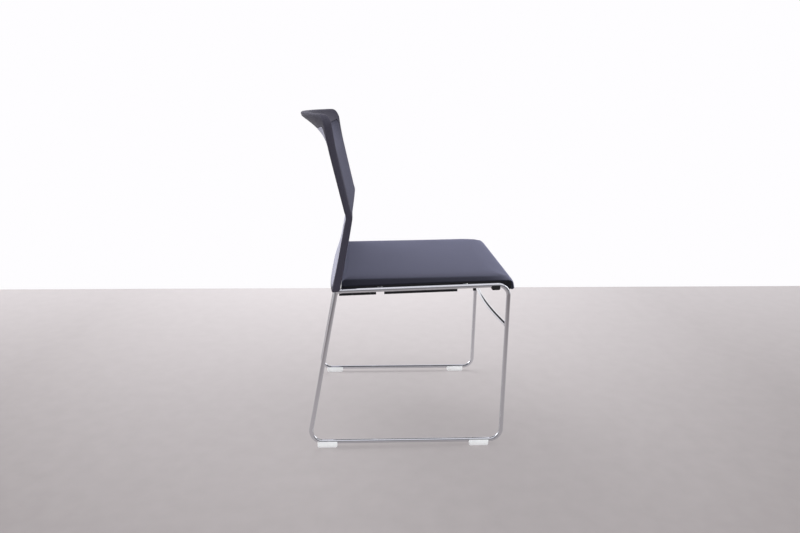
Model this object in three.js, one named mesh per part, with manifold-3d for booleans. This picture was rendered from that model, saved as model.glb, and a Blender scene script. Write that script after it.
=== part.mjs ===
// Sled base visitor chair: two bent rod side frames carry an upholstered seat and a moulded, kinked back.
// Millimetres, +Z up, the sitter faces -Y. The origin is on the floor under the middle of the chair.
import * as THREE from "three";
import Module from "manifold-3d";
import { mergeVertices } from "three/addons/utils/BufferGeometryUtils.js";

const wasm = await Module();
wasm.setup();

// Clearances shared by all pieces
const fit = 0.3;
const overrun = 6;
const weldDistance = 0.0001;
const cornerSteps = 6;
const rollShares = [0, 0.14, 0.45, 1];

// Rod of the side frames
const rodRadius = 5.5;
const rodSides = 16;
const bendSteps = 7;
const railHalfWidth = 253.8;
const railFrontY = -252;
const railFrontZ = 428;
const railRearY = 173.5;
const railFall = 15;
const railRearZ = railFrontZ - railFall;
const runnerZ = 13.6;
const runnerSplay = 2.2;
const frontLegLean = 5;
const rearLegLean = 73.5;
const runnerHalfWidth = railHalfWidth + runnerSplay;
const runnerFrontY = railFrontY + frontLegLean;
const runnerRearY = railRearY + rearLegLean;
const bottomBendRadius = 30;
const topBendRadius = 26;
const collarWall = 0.8;
const collarRadius = rodRadius + collarWall;
const collarLength = 13;

// Front cross brace, a bowed rod between the front legs
const braceRadius = 5;
const braceSides = 14;
const braceSteps = 16;
const braceDrop = 106;
const braceZ = railFrontZ - braceDrop;
const braceBow = 24;
const braceRise = 6;

// Cross bars under the seat and their screw tabs
const barRadius = 5.5;
const barSides = 18;
const rearBarInset = 107.5;
const frontBarInset = 107;
const rearBarY = railRearY - rearBarInset;
const frontBarY = railFrontY + frontBarInset;
const tabWidth = 30;
const tabReach = 22;
const tabThickness = 3;
const tabInset = 103.8;
const tabHalfSpacing = railHalfWidth - tabInset;

// Machine screws
const screwShankRadius = 3;
const screwHeadRadius = 5.5;
const screwHeadHeight = 3.2;
const screwDomeShare = 0.55;
const socketRadius = 2;
const socketDepth = 1.8;
const socketSides = 6;
const seatScrewBite = 3.6;
const screwSides = 20;

// Glides on the runners
const glideLength = 50;
const glideWall = 1.7;
const glideWidth = 2 * (rodRadius + glideWall);
const glideGrip = 1;
const glideTopZ = runnerZ + glideGrip;
const glideChamfer = 3;
const glideRibLength = 2.4;
const glideRibDepth = 0.7;
const rearGlideInset = 47;
const frontGlideInset = 57;
const rearGlideY = runnerRearY - rearGlideInset;
const frontGlideY = runnerFrontY + frontGlideInset;

// Stacking bumpers under the rails
const bumperLength = 21;
const bumperWall = 1;
const bumperHalfWidth = rodRadius + bumperWall;
const bumperDepth = 5.5;
const bumperDrop = rodRadius + bumperDepth;
const bumperTaper = 2.5;
const bumperInset = 33;
const bumperY = railFrontY + bumperInset;

// Seat shell, in the seat's own tilted frame: the rails' centre lines lie at height zero there
const seatSideGap = 0.7;
const seatHalfWidth = railHalfWidth - rodRadius - seatSideGap;
const seatRearGap = 12.5;
const seatRearY = railRearY - seatRearGap;
const shellThickness = 3;
const shellCornerRadius = 12;
const shellFrontGap = 0.9;
const shellFrontY = railFrontY - rodRadius - shellFrontGap;
const shellFlange = 3.2;
const shellFlangeGap = 1.3;
const shellFlangeHalfWidth = railHalfWidth - rodRadius - shellFlangeGap;
const shellFlangeDrop = 14;
const shellFlangeFrontInset = 127;
const shellFlangeFrontY = railFrontY + shellFlangeFrontInset;
const shellFlangePastRear = 0.5;
const shellFlangeRearY = seatRearY + shellFlangePastRear;
const shellTongueReach = 5.5;
const shellTongueDrop = 4.5;
const shellNotchLength = 20;
const shellStudLength = 8;
const shellStudInset = 84;
const shellStudY = railFrontY + shellStudInset;
const shellLipDrop = 13;
const shellLipThickness = 5;
const shellBevelReach = 4;
const shellBevelDrop = 4.5;
const shellRibDrop = 5;
const shellRibWidth = 2.4;
const shellRibHalfSpacing = 80;

// Seat board inside the cushion
const boardThickness = 5;
const boardSideInset = 22;
const boardHalfWidth = seatHalfWidth - boardSideInset;
const boardFrontInset = 32.4;
const boardFrontY = shellFrontY + boardFrontInset;
const boardRearInset = 16;
const boardRearY = seatRearY - boardRearInset;
const boardCornerRadius = 24;

// Seat cushion
const cushionRearHeight = 23.5;
const cushionFrontHeight = 17.5;
const cushionCrown = 3.5;
const cushionSideReach = 14.6;
const cushionRearRadius = 12;
const cushionRimShare = 0.15;
const cushionSideCurveShare = 0.4;
const noseRoundShare = 0.8;
const cushionDraw = 2.5;
const noseInnerY = shellFrontY - 2 * fit;
const noseThickness = 10.8;
const noseFrontY = noseInnerY - noseThickness;
const noseLength = 37;
const noseMiddleZ = -5;
const noseBottomZ = -16;
const noseEndLift = 3;
const noseCurl = 6.5;
const noseSteps = 6;
const curlSteps = 3;
const cushionStations = 9;
const cushionEdgeSteps = 6;
const cushionRearSteps = 3;
const cushionTopSteps = 8;

// Back, as heights over the floor and depths along Y
const memberWall = 3;
const memberWidth = 2 * (rodRadius + memberWall);
const backBottomDrop = 2;
const backBottomZ = railRearZ - backBottomDrop;
const kinkRise = 183;
const backKinkZ = backBottomZ + kinkRise;
const backHeight = 425.5;
const backTopZ = backBottomZ + backHeight;
const uprightShortfall = 34;
const uprightTopZ = backKinkZ - uprightShortfall;
const kinkSoftness = 16;
const upperLean = 0.236;
const depthBottom = 18.6;
const depthKink = 16;
const depthTop = 19.6;
const lipFlare = 65.8;
const lipTipDrop = 10.5;
const lipTipZ = backTopZ - lipTipDrop;
const lipFlareReach = 92;
const lipFlareStartZ = lipTipZ - lipFlareReach;
const lipFlarePower = 2.3;
const topCurl = 7;
const hollowLower = 1.5;
const hollowUpper = 6;
const hollowRise = 90;
const bulge = 8;
const bulgeReach = 60;
const backCornerRadius = 30;
const backEdgeRadius = 5;
const topRailHeight = 35;
const bottomRailHeight = 6;
const windowCornerRadius = 14;
const windowFit = 0.4;
const panelThickness = 3;
const panelEdgeRadius = 1;
const padThickness = 11.5;
const padCrown = 2;
const padEdgeRadius = 6;
const backColumns = 12;
const insertColumns = 10;
const lowerRows = 6;
const kinkRows = 4;
const middleRows = 4;
const lipRows = 4;

// Screws that lock the back on the rods
const backScrewRise = 35;
const backScrewZ = backBottomZ + backScrewRise;
const backScrewShankRadius = 2.2;
const backScrewHeadRadius = 4;
const backScrewHeadHeight = 2.2;
const backScrewPastMiddle = 2;

// Finishes
const chrome = new THREE.MeshStandardMaterial({ color: 0xc9cbd0, roughness: 0.08, metalness: 1 });
const steel = new THREE.MeshStandardMaterial({ color: 0xa9abaf, roughness: 0.35, metalness: 1 });
const clearPlastic = new THREE.MeshStandardMaterial({ color: 0xe4e7e8, roughness: 0.15, metalness: 0 });
const blackPlastic = new THREE.MeshStandardMaterial({ color: 0x17171a, roughness: 0.55, metalness: 0 });
const darkPlastic = new THREE.MeshStandardMaterial({ color: 0x3a3942, roughness: 0.5, metalness: 0 });
const palePlastic = new THREE.MeshStandardMaterial({ color: 0xa3a4b4, roughness: 0.5, metalness: 0 });
const plywood = new THREE.MeshStandardMaterial({ color: 0xb99a6b, roughness: 0.7, metalness: 0 });
const fabric = new THREE.MeshStandardMaterial({ color: 0x4c4c58, roughness: 0.95, metalness: 0 });

const chair = new THREE.Group();
const seat = new THREE.Group();
const seatSlope = (railFrontZ - railRearZ) / (railRearY - railFrontY);
seat.position.z = railFrontZ + seatSlope * railFrontY;
seat.rotation.x = -Math.atan(seatSlope);
chair.add(seat);

// Turn a closed geometry into a solid that can be joined and cut
function solid(geometry) {
  const bare = geometry.clone();
  bare.deleteAttribute("normal");
  bare.deleteAttribute("uv");
  const merged = mergeVertices(bare, weldDistance);
  return new wasm.Manifold(new wasm.Mesh({
    numProp: 3,
    vertProperties: new Float32Array(merged.attributes.position.array),
    triVerts: new Uint32Array(merged.index.array),
  }));
}

// Turn a solid back into a geometry
function geometryOf(body) {
  const result = body.getMesh();
  const geometry = new THREE.BufferGeometry();
  geometry.setAttribute("position", new THREE.Float32BufferAttribute(result.vertProperties, 3));
  geometry.setIndex(Array.from(result.triVerts));
  return geometry;
}

function piece(name, body, material, parent = chair) {
  const geometry = body.isBufferGeometry ? body : geometryOf(body);
  geometry.computeVertexNormals();
  const mesh = new THREE.Mesh(geometry, material);
  mesh.name = name;
  parent.add(mesh);
  return mesh;
}

const mix = (a, b, share) => a + (b - a) * share;
const clamp = (value, low, high) => Math.min(high, Math.max(low, value));
const smooth = (share) => share * share * (3 - 2 * share);
const spread = (from, to, count) => Array.from({ length: count + 1 }, (_, i) => mix(from, to, i / count));

function disc(radius, sides) {
  const outline = new THREE.Shape();
  for (let i = 0; i < sides; i += 1) {
    const angle = (i / sides) * Math.PI * 2;
    const point = [radius * Math.cos(angle), radius * Math.sin(angle)];
    if (i === 0) outline.moveTo(...point);
    else outline.lineTo(...point);
  }
  return outline;
}

// A rod path of straight runs joined by round bends, sampled only where it turns
class BentRod extends THREE.Curve {
  constructor(corners, bendRadii) {
    super();
    this.points = [corners[0]];
    this.tangents = [corners[1].clone().sub(corners[0]).normalize()];
    for (let i = 1; i < corners.length - 1; i += 1) {
      const before = corners[i].clone().sub(corners[i - 1]).normalize();
      const after = corners[i + 1].clone().sub(corners[i]).normalize();
      const turn = before.angleTo(after);
      const reach = bendRadii[i - 1] * Math.tan(turn / 2);
      const start = corners[i].clone().addScaledVector(before, -reach);
      const inward = after.clone().addScaledVector(before, -before.dot(after)).normalize();
      for (let k = 0; k <= bendSteps; k += 1) {
        const angle = (turn * k) / bendSteps;
        this.points.push(start.clone()
          .addScaledVector(before, bendRadii[i - 1] * Math.sin(angle))
          .addScaledVector(inward, bendRadii[i - 1] * (1 - Math.cos(angle))));
        this.tangents.push(before.clone().multiplyScalar(Math.cos(angle))
          .addScaledVector(inward, Math.sin(angle)).normalize());
      }
    }
    const last = corners.length - 1;
    this.points.push(corners[last]);
    this.tangents.push(corners[last].clone().sub(corners[last - 1]).normalize());
  }

  getPoint(t) {
    return this.points[Math.round(t * (this.points.length - 1))].clone();
  }

  getPointAt(u) {
    return this.getPoint(u);
  }

  getTangentAt(u) {
    return this.tangents[Math.round(u * (this.points.length - 1))].clone();
  }
}

function rodAlong(path, radius, sides) {
  return new THREE.ExtrudeGeometry(disc(radius, sides), {
    steps: path.points.length - 1,
    extrudePath: path,
    bevelEnabled: false,
  });
}

// A round bar from one point to another
function bar(from, to, radius, sides) {
  const axis = to.clone().sub(from);
  const geometry = new THREE.CylinderGeometry(radius, radius, axis.length(), sides);
  const up = new THREE.Vector3(0, 1, 0);
  geometry.applyQuaternion(new THREE.Quaternion().setFromUnitVectors(up, axis.clone().normalize()));
  geometry.translate(...from.clone().add(to).multiplyScalar(0.5).toArray());
  return geometry;
}

function block(x0, x1, y0, y1, z0, z1) {
  const geometry = new THREE.BoxGeometry(x1 - x0, y1 - y0, z1 - z0);
  geometry.translate((x0 + x1) / 2, (y0 + y1) / 2, (z0 + z1) / 2);
  return geometry;
}

function roundedRectangle(x0, x1, y0, y1, radius) {
  const outline = new THREE.Shape();
  outline.moveTo(x0 + radius, y0);
  outline.lineTo(x1 - radius, y0);
  outline.absarc(x1 - radius, y0 + radius, radius, -Math.PI / 2, 0);
  outline.lineTo(x1, y1 - radius);
  outline.absarc(x1 - radius, y1 - radius, radius, 0, Math.PI / 2);
  outline.lineTo(x0 + radius, y1);
  outline.absarc(x0 + radius, y1 - radius, radius, Math.PI / 2, Math.PI);
  outline.lineTo(x0, y0 + radius);
  outline.absarc(x0 + radius, y0 + radius, radius, Math.PI, Math.PI * 1.5);
  return outline;
}

function plate(outline, z0, z1) {
  const geometry = new THREE.ExtrudeGeometry(outline, {
    depth: z1 - z0,
    bevelEnabled: false,
    curveSegments: cornerSteps,
  });
  geometry.translate(0, 0, z0);
  return geometry;
}

// Rear leg line, which runs straight on upwards inside the back's side member
const legSlope = (railRearY - runnerRearY) / (railRearZ - runnerZ);
const legY = (z) => runnerRearY + legSlope * (z - runnerZ);
const halfWidthAt = (z) => mix(runnerHalfWidth, railHalfWidth, (z - runnerZ) / (railRearZ - runnerZ));
const frontLegY = (z) => mix(runnerFrontY, railFrontY, (z - runnerZ) / (railFrontZ - runnerZ));
const frontLegHalfWidth = (z) => mix(runnerHalfWidth, railHalfWidth, (z - runnerZ) / (railFrontZ - runnerZ));

function sideFrame(side, grow) {
  const at = (halfWidth, y, z) => new THREE.Vector3(side * halfWidth, y, z);
  const railEnd = at(railHalfWidth, railRearY, railRearZ);
  const railFront = at(railHalfWidth, railFrontY, railFrontZ);
  const alongRail = railFront.clone().sub(railEnd).normalize();
  const corners = [
    at(halfWidthAt(uprightTopZ + grow), legY(uprightTopZ + grow), uprightTopZ + grow),
    at(runnerHalfWidth, runnerRearY, runnerZ),
    at(runnerHalfWidth, runnerFrontY, runnerZ),
    railFront,
    railEnd.clone().addScaledVector(alongRail, rodRadius + fit),
  ];
  const rod = rodAlong(new BentRod(corners, [bottomBendRadius, bottomBendRadius, topBendRadius]),
    rodRadius + grow, rodSides);
  const collarEnd = railEnd.clone().addScaledVector(alongRail, collarLength + grow);
  return solid(rod).add(solid(bar(railEnd, collarEnd, collarRadius + grow, rodSides)));
}

// Button head screw along +Z, its head's underside at height zero and its shank above it
function screw(headRadius, headHeight, shankRadius, shankLength) {
  const dome = headRadius * screwDomeShare;
  const profile = [
    new THREE.Vector2(0, -headHeight),
    new THREE.Vector2(dome, -headHeight),
    new THREE.Vector2(mix(dome, headRadius, screwDomeShare), -headHeight * screwDomeShare),
    new THREE.Vector2(headRadius, 0),
    new THREE.Vector2(shankRadius, 0),
    new THREE.Vector2(shankRadius, shankLength - shankRadius / 2),
    new THREE.Vector2(shankRadius / 2, shankLength),
    new THREE.Vector2(0, shankLength),
  ];
  const body = solid(new THREE.LatheGeometry(profile, screwSides).rotateX(Math.PI / 2));
  const key = new THREE.CylinderGeometry(socketRadius, socketRadius, socketDepth + overrun, socketSides);
  key.rotateX(Math.PI / 2);
  key.translate(0, 0, -headHeight + socketDepth - (socketDepth + overrun) / 2);
  return body.subtract(solid(key));
}

// Side frames, named for the sitter's own left and right, and the same rods grown by the clearance
// to cut what sits on them
const sides = [["right", -1], ["left", 1]];
const frames = {};
const frameRoom = {};
for (const [label, side] of sides) {
  frames[label] = sideFrame(side, 0);
  frameRoom[label] = sideFrame(side, fit);
}

// Front cross brace
class BowedRod extends THREE.Curve {
  getPoint(t) {
    const half = frontLegHalfWidth(braceZ) - rodRadius - fit;
    const lateral = mix(-1, 1, t);
    const lift = 1 - lateral * lateral;
    return new THREE.Vector3(half * lateral, frontLegY(braceZ) + braceBow * lift, braceZ + braceRise * lift);
  }
}
const brace = new THREE.ExtrudeGeometry(disc(braceRadius, braceSides), {
  steps: braceSteps,
  extrudePath: new BowedRod(),
  bevelEnabled: false,
});
piece("front_cross_brace", solid(brace).subtract(frameRoom.left).subtract(frameRoom.right), chrome);

// Cross bars, tabs and seat screws
const barHalfLength = railHalfWidth - rodRadius - fit;
for (const [label, y] of [["front", frontBarY], ["rear", rearBarY]]) {
  const ends = [new THREE.Vector3(-barHalfLength, y, 0), new THREE.Vector3(barHalfLength, y, 0)];
  piece(`${label}_cross_bar`, bar(...ends, barRadius, barSides), steel, seat);
}
const shellBottomZ = rodRadius + fit;
const tabTopZ = shellBottomZ - fit;
const tabBottomZ = tabTopZ - tabThickness;
const screwUndersideZ = tabBottomZ - fit;
const screwPlaces = [];
for (const [row, y] of [["front", frontBarY], ["rear", rearBarY]]) {
  for (const [label, side] of sides) {
    const x = side * tabHalfSpacing;
    const tabFront = y + barRadius + fit;
    const centreY = tabFront + tabReach / 2;
    screwPlaces.push([`${row}_${label}`, x, centreY]);
    const tabRear = tabFront + tabReach;
    const tab = solid(block(x - tabWidth / 2, x + tabWidth / 2, tabFront, tabRear, tabBottomZ, tabTopZ));
    const hole = new THREE.CylinderGeometry(screwShankRadius + fit, screwShankRadius + fit,
      tabThickness + overrun, screwSides);
    hole.rotateX(Math.PI / 2);
    hole.translate(x, centreY, tabBottomZ);
    piece(`seat_tab_${row}_${label}`, tab.subtract(solid(hole)), steel, seat);
  }
}
const shellTopZ = shellBottomZ + shellThickness;
const boardBottomZ = shellTopZ + fit;
const screwTipZ = boardBottomZ + seatScrewBite;
for (const [label, x, y] of screwPlaces) {
  const fastener = screw(screwHeadRadius, screwHeadHeight, screwShankRadius, screwTipZ - screwUndersideZ);
  const mesh = piece(`seat_screw_${label}`, fastener, steel, seat);
  mesh.position.set(x, y, screwUndersideZ);
}

// Bores for the seat screws, up to a given height
function screwBores(top) {
  const bores = screwPlaces.map(([, x, y]) => {
    const length = top + overrun;
    const radius = screwShankRadius + fit;
    const bore = new THREE.CylinderGeometry(radius, radius, length, screwSides);
    bore.rotateX(Math.PI / 2);
    bore.translate(x, y, top - length / 2);
    return solid(bore);
  });
  return wasm.Manifold.union(bores);
}

// An outline along Y and Z, drawn out along X
function alongX(outline, x0, x1) {
  const body = new THREE.ExtrudeGeometry(outline, {
    depth: x1 - x0,
    bevelEnabled: false,
    curveSegments: cornerSteps,
  });
  body.rotateX(Math.PI / 2).rotateZ(Math.PI / 2);
  body.translate(x0, 0, 0);
  return solid(body);
}

// Seat shell: a plate between the rails with side flanges whose tongues reach under the back's feet,
// a bevelled front lip and two ribs below it
const shellBevelY = shellFrontY + shellBevelReach;
const shellBevelZ = shellTopZ - shellBevelDrop;
const shellOutline = roundedRectangle(-seatHalfWidth, seatHalfWidth, shellBevelY, seatRearY,
  shellCornerRadius);
let shell = solid(plate(shellOutline, shellBottomZ, shellTopZ));
const lipOutline = new THREE.Shape([
  new THREE.Vector2(shellBevelY, shellTopZ),
  new THREE.Vector2(shellFrontY, shellBevelZ),
  new THREE.Vector2(shellFrontY, -shellLipDrop),
  new THREE.Vector2(shellFrontY + shellLipThickness, -shellLipDrop),
  new THREE.Vector2(shellFrontY + shellLipThickness, shellTopZ),
]);
shell = shell.add(alongX(lipOutline, -shellFlangeHalfWidth, shellFlangeHalfWidth));

// Wall that fills the corner between the lip and a rail's front bend, cut along the bend's centre line
function cornerWall(x0, x1) {
  const top = shellBottomZ + shellThickness / 2;
  const bendY = railFrontY + topBendRadius;
  const bendEnd = Math.PI - Math.asin((topBendRadius - shellLipDrop) / topBendRadius);
  const outline = new THREE.Shape();
  outline.moveTo(bendY, top);
  outline.lineTo(bendY, 0);
  outline.absarc(bendY, -topBendRadius, topBendRadius, Math.PI / 2, bendEnd);
  outline.lineTo(shellFrontY, -shellLipDrop);
  outline.lineTo(shellFrontY, shellBevelZ);
  outline.lineTo(shellBevelY, top);
  return alongX(outline, x0, x1);
}
const notchFrom = rearBarY - shellNotchLength / 2;
const notchTo = rearBarY + shellNotchLength / 2;
for (const [, side] of sides) {
  const outer = side * shellFlangeHalfWidth;
  const inner = side * (shellFlangeHalfWidth - shellFlange);
  const [x0, x1] = [Math.min(outer, inner), Math.max(outer, inner)];
  const flangeTop = shellBottomZ + shellThickness / 2;
  const runs = [
    [shellFlangeFrontY, notchFrom],
    [notchTo, shellFlangeRearY],
    [shellStudY - shellStudLength / 2, shellStudY + shellStudLength / 2],
  ];
  for (const [from, to] of runs) {
    shell = shell.add(solid(block(x0, x1, from, to, -shellFlangeDrop, flangeTop)));
  }
  const tongueFrom = shellFlangeRearY - shellTongueReach;
  const tongueTo = shellFlangeRearY + shellTongueReach;
  shell = shell.add(solid(block(x0, x1, tongueFrom, tongueTo, -shellFlangeDrop, -shellTongueDrop)));
  shell = shell.add(cornerWall(x0, x1));
  const ribX = side * shellRibHalfSpacing;
  const ribSpans = [
    [shellFrontY + shellLipThickness / 2, frontBarY - barRadius - fit],
    [frontBarY + barRadius + fit, rearBarY - barRadius - fit],
    [rearBarY + barRadius + fit, seatRearY - shellThickness],
  ];
  for (const [from, to] of ribSpans) {
    shell = shell.add(solid(block(ribX - shellRibWidth / 2, ribX + shellRibWidth / 2, from, to,
      shellBottomZ - shellRibDrop, shellBottomZ + shellThickness / 2)));
  }
}
piece("seat_shell", shell.subtract(screwBores(shellTopZ + overrun)), blackPlastic, seat);

// Seat board
const boardTopZ = boardBottomZ + boardThickness;
const boardOutline = roundedRectangle(-boardHalfWidth, boardHalfWidth, boardFrontY, boardRearY,
  boardCornerRadius);
const board = solid(plate(boardOutline, boardBottomZ, boardTopZ));
piece("seat_board", board.subtract(screwBores(screwTipZ + fit)), plywood, seat);

// Seat cushion: a closed section along Y and Z, lofted across the seat
function cushionSection() {
  const bottom = boardBottomZ;
  const rearRadius = cushionRearRadius;
  const points = [];
  const add = (y, z, lift, pull) => points.push({ y, z, lift, pull });
  add(seatRearY, bottom, 0, 0);
  for (const angle of spread(0, Math.PI / 2, cushionRearSteps)) {
    const y = seatRearY - rearRadius + rearRadius * Math.cos(angle);
    const z = cushionRearHeight - rearRadius + rearRadius * Math.sin(angle);
    add(y, z, Math.sin(angle), Math.sin(angle));
  }
  const noseStartY = noseFrontY + noseLength;
  for (const y of spread(seatRearY - 2 * rearRadius, noseStartY + noseLength / 2, cushionTopSteps)) {
    const share = (seatRearY - y) / (seatRearY - noseStartY);
    add(y, mix(cushionRearHeight, cushionFrontHeight, share), 1, 1);
  }
  for (const angle of spread(0, Math.PI / 2, noseSteps)) {
    const y = noseStartY - noseLength * Math.sin(angle);
    const z = noseMiddleZ + (cushionFrontHeight - noseMiddleZ) * Math.cos(angle);
    add(y, z, Math.cos(angle), 1);
  }
  for (const angle of spread(0, Math.PI / 2, curlSteps)) {
    const y = noseFrontY + noseCurl - noseCurl * Math.cos(angle);
    add(y, noseBottomZ + noseCurl - noseCurl * Math.sin(angle), 0, 1);
  }
  add(noseInnerY, noseBottomZ, 0, 0);
  add(noseInnerY, bottom - shellBevelDrop, 0, 0);
  add(noseInnerY + shellBevelReach, bottom, 0, 0);
  return points;
}

function loft(rings) {
  const count = rings[0].length;
  const positions = rings.flat().flatMap((point) => point.toArray());
  const index = [];
  for (let i = 0; i < rings.length - 1; i += 1) {
    for (let k = 0; k < count; k += 1) {
      const next = (k + 1) % count;
      const [a, b, c, d] = [i * count + k, i * count + next, (i + 1) * count + next, (i + 1) * count + k];
      index.push(a, b, c, a, c, d);
    }
  }
  const capShape = rings[0].map((point) => new THREE.Vector2(point.y, point.z));
  for (const [a, b, c] of THREE.ShapeUtils.triangulateShape(capShape, [])) {
    const last = (rings.length - 1) * count;
    index.push(a, c, b, last + a, last + b, last + c);
  }
  const geometry = new THREE.BufferGeometry();
  geometry.setAttribute("position", new THREE.Float32BufferAttribute(positions, 3));
  geometry.setIndex(index);
  const body = solid(geometry);
  return body.volume() > 0 ? body : solid(flipped(geometry));
}

function flipped(geometry) {
  const copy = geometry.clone();
  const index = Array.from(copy.index.array);
  for (let i = 0; i < index.length; i += 3) [index[i], index[i + 1]] = [index[i + 1], index[i]];
  copy.setIndex(index);
  return copy;
}

function cushion() {
  const section = cushionSection();
  const middleY = (seatRearY + noseFrontY) / 2;
  const halfLength = (seatRearY - noseFrontY) / 2;
  const flatHalf = seatHalfWidth - cushionSideReach;
  const flat = spread(-flatHalf, flatHalf, cushionStations - 1);
  const side = spread(0, Math.PI / 2, cushionEdgeSteps).slice(1).map((angle) => {
    const share = Math.sin(angle);
    const fall = (share + cushionSideCurveShare * share * share) / (1 + cushionSideCurveShare);
    return { out: cushionSideReach * share, fall, turn: 1 - Math.cos(angle) };
  });
  const stations = [
    ...side.toReversed().map(({ out, fall, turn }) => ({ x: -flatHalf - out, fall, turn })),
    ...flat.map((x) => ({ x, fall: 0, turn: 0 })),
    ...side.map(({ out, fall, turn }) => ({ x: flatHalf + out, fall, turn })),
  ];
  const rings = stations.map(({ x, fall, turn }) => section.map(({ y, z, lift, pull }) => {
    const along = (y - middleY) / halfLength;
    const width = 1 - (cushionDraw * (1 - along * along)) / seatHalfWidth;
    const across = x / seatHalfWidth;
    const drop = Math.max(0, z - boardBottomZ) * (1 - cushionRimShare) * fall;
    const below = Math.max(0, noseMiddleZ - z) / (noseMiddleZ - noseBottomZ);
    const endLift = noseEndLift * below * turn;
    const crowned = z + cushionCrown * lift * (1 - across * across) * (1 - along ** 4) - drop;
    const drawnY = mix(y, noseInnerY, noseRoundShare * (pull - lift) * turn);
    return new THREE.Vector3(x * width, drawnY, crowned + endLift);
  }));
  return loft(rings);
}
const pocket = plate(roundedRectangle(-boardHalfWidth - fit, boardHalfWidth + fit, boardFrontY - fit,
  boardRearY + fit, boardCornerRadius + fit), boardBottomZ - overrun, boardTopZ + fit);
piece("seat_cushion", cushion().subtract(solid(pocket)), fabric, seat);

// Back surfaces: the side members' line, which curls forward at the top,
// and how far the back is hollowed rearward across its width
const backHalfWidth = halfWidthAt(backKinkZ) + memberWidth / 2;
const kinkY = legY(backKinkZ);
function memberY(z) {
  const lower = legY(z);
  const upper = kinkY + upperLean * (z - backKinkZ);
  const share = clamp((z - backKinkZ + kinkSoftness) / (2 * kinkSoftness), 0, 1);
  const curl = topCurl * clamp((z - lipFlareStartZ) / lipFlareReach, 0, 1) ** 2;
  return mix(lower, upper, smooth(share)) - curl;
}
function memberDepth(z) {
  if (z < backKinkZ) return mix(depthBottom, depthKink, (z - backBottomZ) / (backKinkZ - backBottomZ));
  return mix(depthKink, depthTop, (z - backKinkZ) / (lipTipZ - backKinkZ));
}
const hollow = (z) => mix(hollowLower, hollowUpper, smooth(clamp((z - backKinkZ) / hollowRise, 0, 1)));
function flare(z) {
  const share = clamp((z - lipFlareStartZ) / (lipTipZ - lipFlareStartZ), 0, 1);
  return lipFlare * share ** lipFlarePower;
}
function hump(z) {
  const share = clamp((z - backBottomZ) / bulgeReach, 0, 1);
  return bulge * Math.cos((share * Math.PI) / 2) ** 2;
}
function frontFace(x, z) {
  const across = x / backHalfWidth;
  const level = Math.min(z, lipTipZ);
  return memberY(level) - memberDepth(level) / 2 + (hollow(level) + flare(level)) * (1 - across * across);
}
function rearFace(x, z) {
  const across = x / backHalfWidth;
  return frontFace(x, z) + memberDepth(Math.min(z, lipTipZ)) + hump(z) * (1 - across ** 4);
}

// A curved slab between a front and a rear surface, with rounded corners and rolled edges
function slab({ halfWidth, bottom, top, cornerBottom, cornerTop, edge, columns, rows, front, rear }) {
  const width = (z) => {
    const low = clamp(cornerBottom - (z - bottom), 0, cornerBottom);
    const high = clamp(cornerTop - (top - z), 0, cornerTop);
    const cut = low > 0 ? cornerBottom - Math.sqrt(cornerBottom ** 2 - low ** 2)
      : cornerTop - Math.sqrt(Math.max(0, cornerTop ** 2 - high ** 2));
    return halfWidth - cut;
  };
  const edgeColumns = rollShares.map((share) => 1 - (share * edge) / halfWidth);
  const inner = spread(-edgeColumns.at(-1), edgeColumns.at(-1), columns).slice(1, -1);
  const shares = [...edgeColumns.map((share) => -share), ...inner, ...edgeColumns.toReversed()];
  const roll = (distance) => {
    const depth = clamp(edge - distance, 0, edge);
    return edge - Math.sqrt(edge ** 2 - depth ** 2);
  };
  const positions = [];
  const place = (face, sign) => {
    for (const z of rows) {
      for (const share of shares) {
        const x = share * width(z);
        const distance = Math.min(width(z) - Math.abs(x), z - bottom, top - z);
        positions.push(x, face(x, z) + sign * roll(distance), z);
      }
    }
  };
  place(front, 1);
  place(rear, -1);
  const across = shares.length;
  const total = across * rows.length;
  const at = (row, column, back) => row * across + column + (back ? total : 0);
  const index = [];
  const quad = (a, b, c, d) => index.push(a, b, c, a, c, d);
  for (let row = 0; row < rows.length - 1; row += 1) {
    for (let column = 0; column < across - 1; column += 1) {
      quad(at(row, column), at(row, column + 1), at(row + 1, column + 1), at(row + 1, column));
      const [above, beside] = [row + 1, column + 1];
      quad(at(row, column, true), at(above, column, true), at(above, beside, true), at(row, beside, true));
    }
    const end = across - 1;
    quad(at(row, 0, true), at(row, 0), at(row + 1, 0), at(row + 1, 0, true));
    quad(at(row, end), at(row, end, true), at(row + 1, end, true), at(row + 1, end));
  }
  const last = rows.length - 1;
  for (let column = 0; column < across - 1; column += 1) {
    quad(at(0, column, true), at(0, column + 1, true), at(0, column + 1), at(0, column));
    quad(at(last, column), at(last, column + 1), at(last, column + 1, true), at(last, column, true));
  }
  const geometry = new THREE.BufferGeometry();
  geometry.setAttribute("position", new THREE.Float32BufferAttribute(positions, 3));
  geometry.setIndex(index);
  return solid(geometry);
}

// Heights at which the back is sampled: close together at the rolled ends, the kink and the lip
function backRows(bottom, top, edge, corner) {
  const rolled = rollShares.map((share) => share * edge);
  const low = [...rolled, mix(edge, corner, 0.5), corner].map((step) => bottom + step);
  const high = [corner, mix(edge, corner, 0.5), ...rolled.toReversed()].map((step) => top - step);
  const kinkLow = backKinkZ - kinkSoftness;
  const kinkHigh = backKinkZ + kinkSoftness;
  return [
    ...low,
    ...spread(low.at(-1), kinkLow, lowerRows).slice(1),
    ...spread(kinkLow, kinkHigh, kinkRows).slice(1),
    ...spread(kinkHigh, lipFlareStartZ, middleRows).slice(1),
    ...spread(lipFlareStartZ, high[0], lipRows).slice(1),
    ...high.slice(1),
  ];
}

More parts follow.
